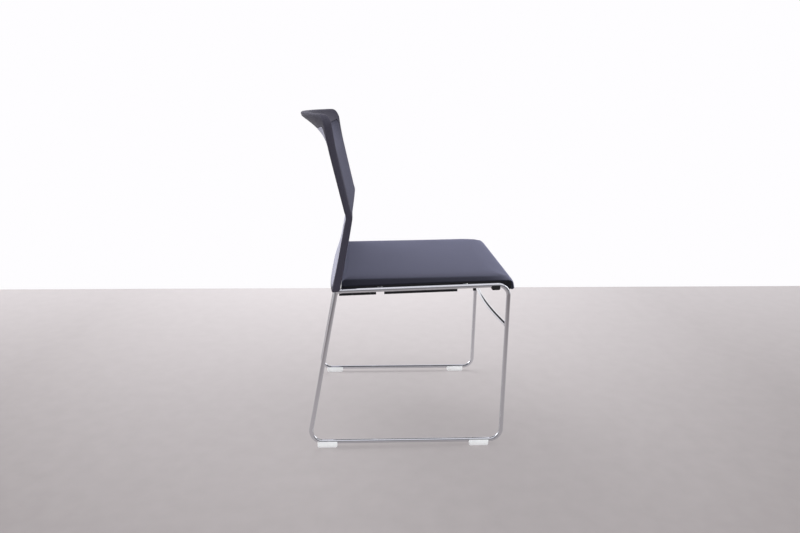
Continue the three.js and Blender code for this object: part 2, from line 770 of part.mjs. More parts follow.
const windowTopZ = backTopZ - topRailHeight;
const windowBottomZ = backBottomZ + bottomRailHeight;
const windowHalfWidth = backHalfWidth - memberWidth;
const whole = slab({
  halfWidth: backHalfWidth,
  bottom: backBottomZ,
  top: backTopZ,
  cornerBottom: backEdgeRadius,
  cornerTop: backCornerRadius,
  edge: backEdgeRadius,
  columns: backColumns,
  rows: backRows(backBottomZ, backTopZ, backEdgeRadius, backCornerRadius),
  front: frontFace,
  rear: rearFace,
});
const windowCutY = memberY(lipTipZ) + depthTop + hollowUpper + lipFlare + overrun;
const windowCut = new THREE.ExtrudeGeometry(
  roundedRectangle(-windowHalfWidth, windowHalfWidth, windowBottomZ, windowTopZ, windowCornerRadius),
  { depth: windowCutY, bevelEnabled: false, curveSegments: cornerSteps },
);
windowCut.rotateX(Math.PI / 2);
windowCut.translate(0, windowCutY, 0);
let backFrame = whole.subtract(solid(windowCut)).subtract(frameRoom.right).subtract(frameRoom.left);

// Screws from inside each side member into its rod
const screwMiddleX = halfWidthAt(backScrewZ);
const screwHeadX = windowHalfWidth + backScrewHeadHeight;
for (const [label, side] of sides) {
  const tipX = screwMiddleX + backScrewPastMiddle;
  const shape = screw(backScrewHeadRadius, backScrewHeadHeight, backScrewShankRadius, tipX - screwHeadX);
  const turn = THREE.MathUtils.radToDeg(side * Math.PI / 2);
  const room = solid(bar(
    new THREE.Vector3(side * (windowHalfWidth - overrun), legY(backScrewZ), backScrewZ),
    new THREE.Vector3(side * (screwHeadX + fit), legY(backScrewZ), backScrewZ),
    backScrewHeadRadius + fit, screwSides,
  ));
  const shankRoom = solid(bar(
    new THREE.Vector3(side * screwHeadX, legY(backScrewZ), backScrewZ),
    new THREE.Vector3(side * (tipX + fit), legY(backScrewZ), backScrewZ),
    backScrewShankRadius + fit, screwSides,
  ));
  backFrame = backFrame.subtract(room).subtract(shankRoom);
  frames[label] = frames[label].subtract(shankRoom);
  const place = [side * screwHeadX, legY(backScrewZ), backScrewZ];
  piece(`back_screw_${label}`, shape.rotate([0, turn, 0]).translate(place), steel);
}
piece("back_frame", backFrame, darkPlastic);
for (const [label] of sides) piece(`${label}_side_frame`, frames[label], chrome);

// Rear panel and front pad in the back frame's window
const insertHalfWidth = windowHalfWidth - windowFit;
const insertBottomZ = windowBottomZ + windowFit;
const insertTopZ = windowTopZ - windowFit;
piece("back_rear_panel", slab({
  halfWidth: insertHalfWidth,
  bottom: insertBottomZ,
  top: insertTopZ,
  cornerBottom: windowCornerRadius,
  cornerTop: windowCornerRadius,
  edge: panelEdgeRadius,
  columns: insertColumns,
  rows: backRows(insertBottomZ, insertTopZ, panelEdgeRadius, windowCornerRadius),
  front: (x, z) => rearFace(x, z) - panelThickness,
  rear: rearFace,
}), palePlastic);
function padRise(x, z) {
  const across = x / insertHalfWidth;
  const along = (z - (insertBottomZ + insertTopZ) / 2) / ((insertTopZ - insertBottomZ) / 2);
  return padCrown * (1 - across ** 4) * (1 - along ** 8);
}
piece("back_pad", slab({
  halfWidth: insertHalfWidth,
  bottom: insertBottomZ,
  top: insertTopZ,
  cornerBottom: windowCornerRadius,
  cornerTop: windowCornerRadius,
  edge: padEdgeRadius,
  columns: insertColumns,
  rows: backRows(insertBottomZ, insertTopZ, padEdgeRadius, windowCornerRadius),
  front: (x, z) => frontFace(x, z) - padRise(x, z),
  rear: (x, z) => frontFace(x, z) + padThickness,
}), fabric);

// A block along Y with its lower corners cut off, as a shape that clips on a rod has
function clip({ x, y, length, width, top, bottom, taper }) {
  const half = length / 2;
  const profile = new THREE.Shape([
    new THREE.Vector2(-half, top),
    new THREE.Vector2(-half, bottom + taper),
    new THREE.Vector2(-half + taper, bottom),
    new THREE.Vector2(half - taper, bottom),
    new THREE.Vector2(half, bottom + taper),
    new THREE.Vector2(half, top),
  ]);
  return alongX(profile, x - width / 2, x + width / 2).translate([0, y, 0]);
}

// Glides, clipped on the runners from below
for (const [row, y] of [["front", frontGlideY], ["rear", rearGlideY]]) {
  for (const [label, side] of sides) {
    const x = side * runnerHalfWidth;
    const body = clip({
      x,
      y,
      length: glideLength,
      width: glideWidth,
      top: glideTopZ,
      bottom: 0,
      taper: glideChamfer,
    });
    const ribHalfWidth = glideWidth / 2 + glideRibDepth;
    const rib = block(x - ribHalfWidth, x + ribHalfWidth, y - glideRibLength / 2, y + glideRibLength / 2,
      glideChamfer, glideTopZ - glideRibDepth);
    piece(`glide_${row}_${label}`, body.add(solid(rib)).subtract(frameRoom[label]), clearPlastic);
  }
}

// Stacking bumpers, clipped under the rails at the front bends, in the seat's tilted frame
seat.updateMatrix();
const toSeat = seat.matrix.clone().invert().toArray();
for (const [label, side] of sides) {
  const body = clip({
    x: side * railHalfWidth,
    y: bumperY,
    length: bumperLength,
    width: 2 * bumperHalfWidth,
    top: 0,
    bottom: -bumperDrop,
    taper: bumperTaper,
  });
  piece(`stacking_bumper_${label}`, body.subtract(frameRoom[label].transform(toSeat)), blackPlastic, seat);
}

// The origin lies under the middle of the whole chair
const extent = new THREE.Box3().setFromObject(chair);
chair.position.y = -(extent.min.y + extent.max.y) / 2;

export default chair;
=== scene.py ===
"""Looks of a sled base visitor chair: chromed side frames, an upholstered seat and a moulded, kinked back.

Metres, +Z up. The sitter faces -Y, so the sitter's right is at -X, which is the camera's side.
"""
from __future__ import annotations

import functools
import logging
import math
from collections.abc import Callable, Sequence
from dataclasses import dataclass, field
from enum import Enum

import bmesh
import bpy
import numpy as np
from mathutils import Matrix, Vector


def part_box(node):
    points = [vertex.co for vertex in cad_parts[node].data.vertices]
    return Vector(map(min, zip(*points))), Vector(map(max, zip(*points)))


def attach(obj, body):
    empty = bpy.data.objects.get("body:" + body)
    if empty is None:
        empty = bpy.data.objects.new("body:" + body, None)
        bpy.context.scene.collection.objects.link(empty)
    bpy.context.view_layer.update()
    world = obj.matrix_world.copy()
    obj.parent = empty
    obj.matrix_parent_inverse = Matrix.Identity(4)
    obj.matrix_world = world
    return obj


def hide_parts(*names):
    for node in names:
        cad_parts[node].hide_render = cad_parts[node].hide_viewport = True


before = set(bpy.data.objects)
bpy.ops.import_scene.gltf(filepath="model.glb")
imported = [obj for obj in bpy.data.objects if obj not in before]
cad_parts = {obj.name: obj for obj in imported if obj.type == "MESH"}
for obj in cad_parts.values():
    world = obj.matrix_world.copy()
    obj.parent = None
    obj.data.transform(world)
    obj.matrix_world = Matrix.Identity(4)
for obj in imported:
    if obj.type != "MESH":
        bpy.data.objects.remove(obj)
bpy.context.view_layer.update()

log = logging.getLogger("chair")

Place = tuple[float, float, float]
Colour = tuple[float, float, float]
Face = tuple[int, ...]
Surface = Callable[[np.ndarray, np.ndarray], np.ndarray]

BODY = "root"
SMOOTH_ANGLE = math.radians(32)
ROD_ANGLE = math.radians(60)
FABRIC_ANGLE = math.radians(80)
BEVEL_ANGLE = math.radians(38)
FLAT_ANGLE = math.radians(0.5)
WELD_DISTANCE = 1e-6
FIT = 0.0003

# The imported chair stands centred, so its own lengthways zero lies a little off the frame's
REAR_GLIDE_Y = 0.200
GLIDE_LOW, GLIDE_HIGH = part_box("glide_rear_left")
SHIFT_Y = (GLIDE_LOW.y + GLIDE_HIGH.y) / 2 - REAR_GLIDE_Y


class Side(Enum):
    """Sides of the chair, named for the sitter, with their sign along X."""

    RIGHT = -1
    LEFT = 1

    @property
    def label(self) -> str:
        """The word that the CAD nodes use for this side."""
        return self.name.lower()


class Row(Enum):
    """The front and the rear of the seat, for what stands there in pairs."""

    FRONT = "front"
    REAR = "rear"


def linear(colour: Colour) -> tuple[float, float, float, float]:
    """Turn a colour written in steps from 0 to 255 into the linear one that a shader takes.

    Args:
        colour: Red, green and blue as they look on a screen.

    Returns:
        Linear red, green, blue and a full alpha.
    """
    shares = [step / 255 for step in colour]
    red, green, blue = [((s + 0.055) / 1.055) ** 2.4 if s > 0.04045 else s / 12.92 for s in shares]
    return red, green, blue, 1.0


class Tree:
    """A node tree under construction, to which nodes are added one at a time."""

    prefix: str = "ShaderNode"

    def __init__(self, tree: bpy.types.NodeTree) -> None:
        """Take over a tree and empty it.

        Args:
            tree: The node tree.
        """
        self.nodes, self.links = tree.nodes, tree.links
        self.nodes.clear()

    def add(self, kind: str, inputs: dict | None = None, **settings: object) -> bpy.types.Node:
        """Add one node.

        Args:
            kind: The node's type without its prefix.
            inputs: Sockets by name or number, each with a value or the socket that feeds it.
            settings: Properties of the node itself.

        Returns:
            The new node.
        """
        node = self.nodes.new(self.prefix + kind)
        for name, value in settings.items():
            setattr(node, name, value)
        for name, value in (inputs or {}).items():
            if isinstance(value, bpy.types.NodeSocket):
                self.links.new(value, node.inputs[name])
            else:
                node.inputs[name].default_value = value
        return node

    def math(self, operation: str, first: object, second: object = 0.0) -> bpy.types.NodeSocket:
        """Add a sum of two values.

        Args:
            operation: Blender's name for the sum.
            first: A number or a socket.
            second: A number or a socket.

        Returns:
            The result's socket.
        """
        return self.add("Math", {0: first, 1: second}, operation=operation).outputs[0]

    def mirrored(self) -> bpy.types.NodeSocket:
        """Give the socket that is 1 for what polished and clear surfaces show."""
        path = self.add("LightPath").outputs
        return self.math("MAXIMUM", path["Is Glossy Ray"], path["Is Transmission Ray"])


class Shader(Tree):
    """A material under construction."""

    def __init__(self, name: str) -> None:
        """Start an empty material.

        Args:
            name: The material's name.
        """
        self.material = bpy.data.materials.new(name)
        self.material.use_nodes = True
        super().__init__(self.material.node_tree)

    def place(self) -> bpy.types.NodeSocket:
        """Give the socket that holds a point's own coordinates on the piece, in metres."""
        return self.add("TexCoord").outputs["Object"]

    def noise(self, vector: bpy.types.NodeSocket, pitch: float, detail: float = 2.0) -> bpy.types.NodeSocket:
        """Add a cloudy pattern.

        Args:
            vector: The coordinates that it follows.
            pitch: The size of one cloud in metres.
            detail: How many finer layers it holds.

        Returns:
            The socket of its value, from 0 to 1.
        """
        return self.add("TexNoise", {"Vector": vector, "Scale": 1 / pitch, "Detail": detail}).outputs["Fac"]

    def span(self, value: bpy.types.NodeSocket, low: float, high: float) -> bpy.types.NodeSocket:
        """Stretch a value that runs from 0 to 1.

        Args:
            value: The socket to stretch.
            low: What 0 becomes.
            high: What 1 becomes.

        Returns:
            The stretched value's socket.
        """
        return self.add("MapRange", {"Value": value, "To Min": low, "To Max": high}).outputs["Result"]

    def tint(self, share: bpy.types.NodeSocket, first: Colour, second: Colour) -> bpy.types.NodeSocket:
        """Mix two colours.

        Args:
            share: The socket that says how much of the second colour shows.
            first: The colour at 0.
            second: The colour at 1.

        Returns:
            The mixed colour's socket.
        """
        mixed = self.add("Mix", {0: share, 6: linear(first), 7: linear(second)}, data_type="RGBA")
        return mixed.outputs[2]

    def bump(self, height: bpy.types.NodeSocket, strength: float, depth: float,
             below: bpy.types.NodeSocket | None = None) -> bpy.types.NodeSocket:
        """Raise a pattern out of the surface.

        Args:
            height: The pattern's height, from 0 to 1.
            strength: How much of it shows.
            depth: Its full height in metres.
            below: The normal of a coarser pattern that it lies on.

        Returns:
            The bumped normal's socket.
        """
        inputs = {"Height": height, "Strength": strength, "Distance": depth}
        if below is not None:
            inputs["Normal"] = below
        return self.add("Bump", inputs).outputs["Normal"]

    def close(self, shader: bpy.types.NodeSocket) -> bpy.types.Material:
        """End the tree in its output.

        Args:
            shader: The socket of the finished shader.

        Returns:
            The finished material.
        """
        self.add("OutputMaterial", {"Surface": shader})
        return self.material


@dataclass(frozen=True)
class ChromePlate:
    """Bright chromium plate on drawn steel rod, with the rod's faint waves and fine wiping marks."""

    name: str = "chrome_plate"
    colour: Colour = (222, 223, 227)
    gloss_low: float = 0.05
    gloss_high: float = 0.1
    wave_pitch: float = 0.03
    wave_strength: float = 0.05
    wave_depth: float = 0.0004
    mark_pitch: float = 0.0012

    def build(self) -> bpy.types.Material:
        """Make the material."""
        shader = Shader(self.name)
        place = shader.place()
        wave = shader.noise(place, self.wave_pitch)
        marks = shader.noise(place, self.mark_pitch, 4.0)
        surface = shader.add("BsdfPrincipled", {
            "Base Color": linear(self.colour),
            "Metallic": 1.0,
            "Roughness": shader.span(marks, self.gloss_low, self.gloss_high),
            "Normal": shader.bump(wave, self.wave_strength, self.wave_depth),
        })
        return shader.close(surface.outputs["BSDF"])


@dataclass(frozen=True)
class ZincPlate:
    """Dull zinc plate of the hidden bars, tabs and screws, slightly clouded."""

    name: str = "zinc_plate"
    light: Colour = (176, 178, 182)
    dark: Colour = (148, 150, 155)
    gloss_low: float = 0.28
    gloss_high: float = 0.44
    cloud_pitch: float = 0.008
    grain_pitch: float = 0.0007
    grain_strength: float = 0.2
    grain_depth: float = 0.00005

    def build(self) -> bpy.types.Material:
        """Make the material."""
        shader = Shader(self.name)
        place = shader.place()
        cloud = shader.noise(place, self.cloud_pitch, 3.0)
        grain = shader.noise(place, self.grain_pitch)
        surface = shader.add("BsdfPrincipled", {
            "Base Color": shader.tint(cloud, self.dark, self.light),
            "Metallic": 1.0,
            "Roughness": shader.span(cloud, self.gloss_low, self.gloss_high),
            "Normal": shader.bump(grain, self.grain_strength, self.grain_depth),
        })
        return shader.close(surface.outputs["BSDF"])


@dataclass(frozen=True)
class MouldedPlastic:
    """Injection-moulded plastic with a fine leathery grain and slightly uneven gloss."""

    name: str
    colour: Colour
    fleck: Colour
    roughness: float = 0.45
    specular: float = 0.5
    grain_pitch: float = 0.0009
    grain_depth: float = 0.00005
    grain_strength: float = 0.35
    fleck_pitch: float = 0.0022
    shine_pitch: float = 0.044
    shine_less: float = 0.05
    shine_more: float = 0.07

    def build(self) -> bpy.types.Material:
        """Make the material."""
        shader = Shader(self.name)
        place = shader.place()
        grain = shader.noise(place, self.grain_pitch, 3.0)
        fleck = shader.noise(place, self.fleck_pitch, 4.0)
        shine = shader.noise(place, self.shine_pitch)
        surface = shader.add("BsdfPrincipled", {
            "Base Color": shader.tint(shader.span(fleck, -0.6, 1.6), self.colour, self.fleck),
            "Roughness": shader.span(shine, self.roughness - self.shine_less,
                                     self.roughness + self.shine_more),
            "Specular IOR Level": self.specular,
            "Normal": shader.bump(grain, self.grain_strength, self.grain_depth),
        })
        return shader.close(surface.outputs["BSDF"])


@dataclass(frozen=True)
class ClearPlastic:
    """Clear polycarbonate of the glides: scuffs frost it, and a painted glow, an emission though the glide is
    no lamp, makes it look white.
    """

    name: str = "clear_polycarbonate"
    colour: Colour = (246, 248, 248)
    gloss_low: float = 0.22
    gloss_high: float = 0.45
    refraction: float = 1.49
    clearness: float = 0.15
    # Strength of the painted glow that brightens the glides.
    scattered: float = 0.22
    frost_pitch: float = 0.003
    frost_strength: float = 0.15
    frost_depth: float = 0.0001

    def build(self) -> bpy.types.Material:
        """Make the material."""
        shader = Shader(self.name)
        frost = shader.noise(shader.place(), self.frost_pitch, 4.0)
        surface = shader.add("BsdfPrincipled", {
            "Base Color": linear(self.colour),
            "Roughness": shader.span(frost, self.gloss_low, self.gloss_high),
            "IOR": self.refraction,
            "Transmission Weight": self.clearness,
            # Painted glow: the glide emits its own colour, though it is no lamp, so it looks brighter than
            # what lights it.
            "Emission Color": linear(self.colour),
            "Emission Strength": self.scattered,
            "Normal": shader.bump(frost, self.frost_strength, self.frost_depth),
        })
        return shader.close(surface.outputs["BSDF"])


@dataclass(frozen=True)
class Plywood:
    """Birch plywood of the seat board, with long grain and its edge's plies."""

    name: str = "birch_plywood"
    light: Colour = (201, 172, 126)
    dark: Colour = (160, 126, 82)
    grain_pitch: float = 0.012
    grain_stretch: float = 0.08
    grain_strength: float = 0.2
    grain_depth: float = 0.0002
    ply: float = 0.0013
    ply_shade: float = 0.4
    roughness: float = 0.65

    def build(self) -> bpy.types.Material:
        """Make the material."""
        shader = Shader(self.name)
        place = shader.place()
        along = shader.add("Mapping", {"Vector": place, "Scale": (1.0, self.grain_stretch, 1.0)}).outputs[0]
        grain = shader.noise(along, self.grain_pitch, 6.0)
        height = shader.add("SeparateXYZ", {0: place}).outputs["Z"]
        plies = shader.math("PINGPONG", height, self.ply)
        edge = shader.math("MULTIPLY", shader.math("DIVIDE", plies, self.ply), self.ply_shade)
        surface = shader.add("BsdfPrincipled", {
            "Base Color": shader.tint(shader.math("ADD", grain, edge), self.light, self.dark),
            "Roughness": self.roughness,
            "Normal": shader.bump(grain, self.grain_strength, self.grain_depth),
        })
        return shader.close(surface.outputs["BSDF"])


@dataclass(frozen=True)
class WovenFabric:
    """Charcoal upholstery fabric: a fine plain weave with slubs, uneven dye and a soft sheen."""

    name: str = "charcoal_weave"
    thread: Colour = (35, 35, 46)
    shade: Colour = (27, 27, 37)
    pitch: float = 0.0011
    slub_pitch: float = 0.006
    patch_pitch: float = 0.09
    crossing_share: float = 0.25
    rounded_share: float = 0.35
    slub_share: float = 0.6
    slub_strength: float = 0.25
    slub_depth: float = 0.0003
    weave_strength: float = 0.4
    weave_depth: float = 0.0002
    facing_limit: float = 0.6
    roughness: float = 0.9
    specular: float = 0.25
    sheen: float = 0.66
    sheen_spread: float = 0.45
    sheen_tint: Colour = (218, 220, 255)

    def threads(self, shader: Shader, first: bpy.types.NodeSocket,
                second: bpy.types.NodeSocket) -> bpy.types.NodeSocket:
        """Weave two sets of threads, each passing over and under the other.

        Args:
            shader: The material under construction.
            first: The coordinate across the warp threads, in metres.
            second: The coordinate across the weft threads, in metres.

        Returns:
            The socket of the weave's height, from 0 to 1.
        """
        turn = math.pi / self.pitch
        warp = shader.math("SINE", shader.math("MULTIPLY", first, turn))
        weft = shader.math("SINE", shader.math("MULTIPLY", second, turn))
        crossing = shader.math("MULTIPLY", warp, weft)
        rounded = shader.math("ADD", shader.math("ABSOLUTE", warp), shader.math("ABSOLUTE", weft))
        return shader.math("ADD", shader.math("MULTIPLY", crossing, self.crossing_share),
                           shader.math("MULTIPLY", rounded, self.rounded_share))

    def build(self) -> bpy.types.Material:
        """Make the material, with the weave laid on each face by the way it looks."""
        shader = Shader(self.name)
        place = shader.place()
        axes = shader.add("SeparateXYZ", {0: place}).outputs
        facing = shader.add("SeparateXYZ", {0: shader.add("NewGeometry").outputs["Normal"]}).outputs
        top = self.threads(shader, axes["X"], axes["Y"])
        front = self.threads(shader, axes["X"], axes["Z"])
        side = self.threads(shader, axes["Y"], axes["Z"])
        looks_up, looks_aside = (
            shader.math("GREATER_THAN", shader.math("ABSOLUTE", facing[axis]), self.facing_limit)
            for axis in "ZX")
        upright = shader.add("Mix", {0: looks_aside, 2: front, 3: side}, data_type="FLOAT").outputs[0]
        weave = shader.add("Mix", {0: looks_up, 2: upright, 3: top}, data_type="FLOAT").outputs[0]
        slub = shader.noise(place, self.slub_pitch, 5.0)
        patch = shader.noise(place, self.patch_pitch)
        mottled = shader.math("ADD", shader.math("MULTIPLY", slub, self.slub_share),
                              shader.math("MULTIPLY", patch, 1 - self.slub_share))
        normal = shader.bump(slub, self.slub_strength, self.slub_depth)
        surface = shader.add("BsdfPrincipled", {
            "Base Color": shader.tint(shader.span(mottled, -0.5, 1.5), self.shade, self.thread),
            "Roughness": self.roughness,
            "Specular IOR Level": self.specular,
            "Sheen Weight": self.sheen,
            "Sheen Roughness": self.sheen_spread,
            "Sheen Tint": linear(self.sheen_tint),
            "Normal": shader.bump(weave, self.weave_strength, self.weave_depth, normal),
        })
        return shader.close(surface.outputs["BSDF"])


@dataclass(frozen=True)
class PaleFloor:
    """Pale matt floor with painted shade: lighter towards the wall, darker towards the camera and at both
    sides, with faint specks.
    """

    name: str = "pale_floor"
    # Ends of the painted shade, from dark near the camera to light at the wall.
    near: Colour = (126, 119, 119)
    far: Colour = (223, 217, 218)
    near_x: float = -2.0
    far_x: float = 1.2
    side_reach: float = 1.2
    side_fall: float = 0.2
    speck_pitch: float = 0.05
    speck_detail: float = 8.0
    speck_share: float = 0.05
    roughness: float = 0.6
    specular: float = 0.1
    glow: float = 0.5

    def build(self) -> bpy.types.Material:
        """Make the material: seen or mirrored, it is half its own glow, which carries the painted shade, and
        half lit by the lamps.
        """
        shader = Shader(self.name)
        place = shader.place()
        axes = shader.add("SeparateXYZ", {0: place}).outputs
        # Painted shade: the colour runs from dark near the camera to light at the wall, as light falls off;
        # polished rods mirror this darker near floor.
        across = shader.add("MapRange", {"Value": axes["X"], "From Min": self.near_x, "From Max": self.far_x})
        # Painted shade: the colour also darkens towards both sides.
        aside = shader.math("MINIMUM", shader.math("ABSOLUTE", axes["Y"]), self.side_reach)
        steepness = self.side_fall / self.side_reach ** 2
        fall = shader.math("MULTIPLY", shader.math("POWER", aside, 2.0), steepness)
        noise = shader.noise(place, self.speck_pitch, self.speck_detail)
        speck = shader.span(noise, -self.speck_share, self.speck_share)
        mottled = shader.math("ADD", shader.math("SUBTRACT", across.outputs["Result"], fall), speck)
        colour = shader.tint(mottled, self.near, self.far)
        lit = shader.add("BsdfPrincipled", {
            "Base Color": colour,
            "Roughness": self.roughness,
            "Specular IOR Level": self.specular,
        })
        even = shader.add("Emission", {"Color": colour, "Strength": 1.0})
        direct = shader.add("LightPath").outputs["Is Camera Ray"]
        seen = shader.math("MULTIPLY", shader.math("MAXIMUM", direct, shader.mirrored()), self.glow)
        mixed = shader.add("MixShader", {0: seen, 1: lit.outputs["BSDF"], 2: even.outputs["Emission"]})
        return shader.close(mixed.outputs["Shader"])


@dataclass(frozen=True)
class DarkRoom:
    """The unlit half of a room, seen only in what is polished: dark at eye height, grey above and below."""

    name: str = "dark_room"
    dark: Colour = (30, 29, 34)
    grey: Colour = (224, 224, 229)
    middle_z: float = 0.8
    reach: float = 1.3

    def build(self) -> bpy.types.Material:
        """Make the material."""
        shader = Shader(self.name)
        height = shader.add("SeparateXYZ", {0: shader.place()}).outputs["Z"]
        off = shader.math("ABSOLUTE", shader.math("SUBTRACT", height, self.middle_z))
        share = shader.math("DIVIDE", off, self.reach)
        glow = shader.add("Emission", {"Color": shader.tint(share, self.dark, self.grey), "Strength": 1.0})
        return shader.close(glow.outputs["Emission"])


Finish = (ChromePlate | ZincPlate | MouldedPlastic | ClearPlastic | Plywood | WovenFabric | PaleFloor
          | DarkRoom)

CHROME = ChromePlate()
ZINC = ZincPlate()
CLEAR = ClearPlastic()
PLYWOOD = Plywood()
SEAT_FABRIC = WovenFabric()
BACK_FABRIC = WovenFabric("back_weave", (54, 53, 65), (45, 44, 55), pitch=0.0009, sheen=0.22)
BLACK_SHELL = MouldedPlastic("black_polypropylene", (22, 22, 25), (30, 30, 34), 0.5, 0.3)
RUBBER = MouldedPlastic("black_rubber", (18, 18, 20), (26, 26, 28), 0.65, grain_strength=0.2)
DARK_FRAME = MouldedPlastic("dark_frame_plastic", (70, 68, 80), (78, 76, 89), 0.55, 0.12)
PALE_PANEL = MouldedPlastic("pale_panel_plastic", (176, 177, 196), (186, 187, 205), 0.55, 0.3)


@functools.cache
def material_of(finish: Finish) -> bpy.types.Material:
    """Give a finish's material, made the first time that it is asked for."""
    return finish.build()


def add_object(name: str, mesh: bpy.types.Mesh) -> bpy.types.Object:
    """Put a mesh in the scene as an object at the origin."""
    made = bpy.data.objects.new(name, mesh)
    bpy.context.scene.collection.objects.link(made)
    return made


def shaded(mesh: bpy.types.Mesh, finish: Finish, angle: float = SMOOTH_ANGLE) -> bpy.types.Mesh:
    """Shade a mesh smooth, apart from its sharp edges, and give it one finish.

    Args:
        mesh: The mesh to shade.
        finish: Its finish.
        angle: Edges that turn more than this stay sharp.

    Returns:
        The same mesh.
    """
    mesh.shade_smooth()
    mesh.set_sharp_from_angle(angle=angle)
    mesh.materials.clear()
    mesh.materials.append(material_of(finish))
    return mesh


def shell_object(name: str, points: Sequence, faces: Sequence[Face], finish: Finish) -> bpy.types.Object:
    """Make a closed mesh object whose faces point outwards.

    Args:
        name: The piece's name.
        points: Its vertices, in metres.
        faces: Its faces, as vertex numbers.
        finish: Its finish.

    Returns:
        The object, at the origin.
    """
    mesh = bpy.data.meshes.new(name)
    mesh.from_pydata([tuple(float(v) for v in p) for p in points], [], [tuple(map(int, f)) for f in faces])
    shell = bmesh.new()
    shell.from_mesh(mesh)
    bmesh.ops.remove_doubles(shell, verts=shell.verts, dist=WELD_DISTANCE)
    bmesh.ops.recalc_face_normals(shell, faces=shell.faces)
    shell.to_mesh(mesh)
    shell.free()
    return add_object(name, shaded(mesh, finish))


def finished(piece: bpy.types.Object) -> bpy.types.Object:
    """Turn what a piece's modifiers make into its own plain mesh, and remove them."""
    graph = bpy.context.evaluated_depsgraph_get()
    result = bpy.data.meshes.new_from_object(piece.evaluated_get(graph), depsgraph=graph)
    piece.modifiers.clear()
    piece.data = result
    return piece


def cut(piece: bpy.types.Object, *cutters: bpy.types.Object,
        operation: str = "DIFFERENCE") -> bpy.types.Object:
    """Take the space of some cutters out of a piece, or add it, and remove them.

    Args:
        piece: The piece to cut.
        cutters: Closed objects that are used up.
        operation: The name of the Boolean operation.

    Returns:
        The cut piece.
    """
    for cutter in cutters:
        step = piece.modifiers.new("cut", "BOOLEAN")
        step.operation = operation
        step.solver = "EXACT"
        step.object = cutter
    finished(piece)
    for cutter in cutters:
        bpy.data.objects.remove(cutter)
    return piece


def bevelled(piece: bpy.types.Object, width: float) -> bpy.types.Object:
    """Round a piece's sharp edges.

    Args:
        piece: The piece to round.
        width: How far the rounding reaches from each edge.

    Returns:
        The same piece with a plain mesh.
    """
    step = piece.modifiers.new("rounding", "BEVEL")
    step.width = width
    step.segments = 2
    step.limit_method = "ANGLE"
    step.angle_limit = BEVEL_ANGLE
    return finished(piece)


def rounded_copy(name: str, node: str, finish: Finish, width: float) -> bpy.types.Object:
    """Copy a CAD node as clean faces with softly rounded edges.

    Args:
        name: The new piece's name.
        node: The CAD node.
        finish: The new piece's finish.
        width: How far the rounding reaches from each edge.

    Returns:
        The new piece.
    """
    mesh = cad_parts[node].data.copy()
    mesh.name = name
    clean = bmesh.new()
    clean.from_mesh(mesh)
    bmesh.ops.remove_doubles(clean, verts=clean.verts, dist=WELD_DISTANCE)
    bmesh.ops.dissolve_limit(clean, angle_limit=FLAT_ANGLE, verts=clean.verts, edges=clean.edges)
    clean.to_mesh(mesh)
    clean.free()
    piece = bevelled(add_object(name, mesh), width)
    shaded(piece.data, finish)
    return piece


def settle(piece: bpy.types.Object, slot: str, *nodes: str) -> bpy.types.Object:
    """Let a finished piece ride on the chair and stand for its CAD nodes.

    Args:
        piece: The finished piece.
        slot: A material slot's name; not used.
        nodes: The CAD nodes that it replaces.

    Returns:
        The same piece.
    """
    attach(piece, BODY)
    if nodes:
        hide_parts(*nodes)
    log.info("%s: %d faces, for %s", piece.name, len(piece.data.polygons), ", ".join(nodes) or "no node")
    return piece


class GeometryTree(Tree):
    """Geometry nodes with named inputs, whose result is real geometry with one finish."""

    prefix: str = "GeometryNode"

    def __init__(self, name: str, inputs: dict[str, str], result: str) -> None:
        """Start the tree.

        Args:
            name: The tree's name.
            inputs: The kind of each named input, the geometry first.
            result: The name of its output.
        """
        self.group = bpy.data.node_groups.new(name, "GeometryNodeTree")
        super().__init__(self.group)
        face = self.group.interface
        for label, kind in (inputs | {"Finish": "Material"}).items():
            face.new_socket(label, in_out="INPUT", socket_type="NodeSocket" + kind)
        face.new_socket(result, in_out="OUTPUT", socket_type="NodeSocketGeometry")
        self.given = self.nodes.new("NodeGroupInput").outputs
        self.result = result
        self.sockets = {item.name: item.identifier for item in face.items_tree}

    def close(self, shape: bpy.types.NodeSocket) -> None:
        """End the tree in real geometry with the finish on it.

        Args:
            shape: The socket of the finished shape.
        """
        real = self.add("RealizeInstances", {"Geometry": shape}).outputs["Geometry"]
        dressed = self.add("SetMaterial", {"Geometry": real, "Material": self.given["Finish"]})
        end = self.nodes.new("NodeGroupOutput")
        self.links.new(dressed.outputs["Geometry"], end.inputs[self.result])

    def run(self, name: str, mesh: bpy.types.Mesh, finish: Finish,
            values: dict[str, object]) -> bpy.types.Object:
        """Run the tree on a mesh.

        Args:
            name: The piece's name.
            mesh: The mesh that its first input takes.
            finish: The piece's finish.
            values: What its other inputs take.

        Returns:
            The result as a plain mesh object.
        """
        made = add_object(name, mesh)
        step = made.modifiers.new("shape", "NODES")
        step.node_group = self.group
        for label, value in (values | {"Finish": material_of(finish)}).items():
            step[self.sockets[label]] = value
        return finished(made)


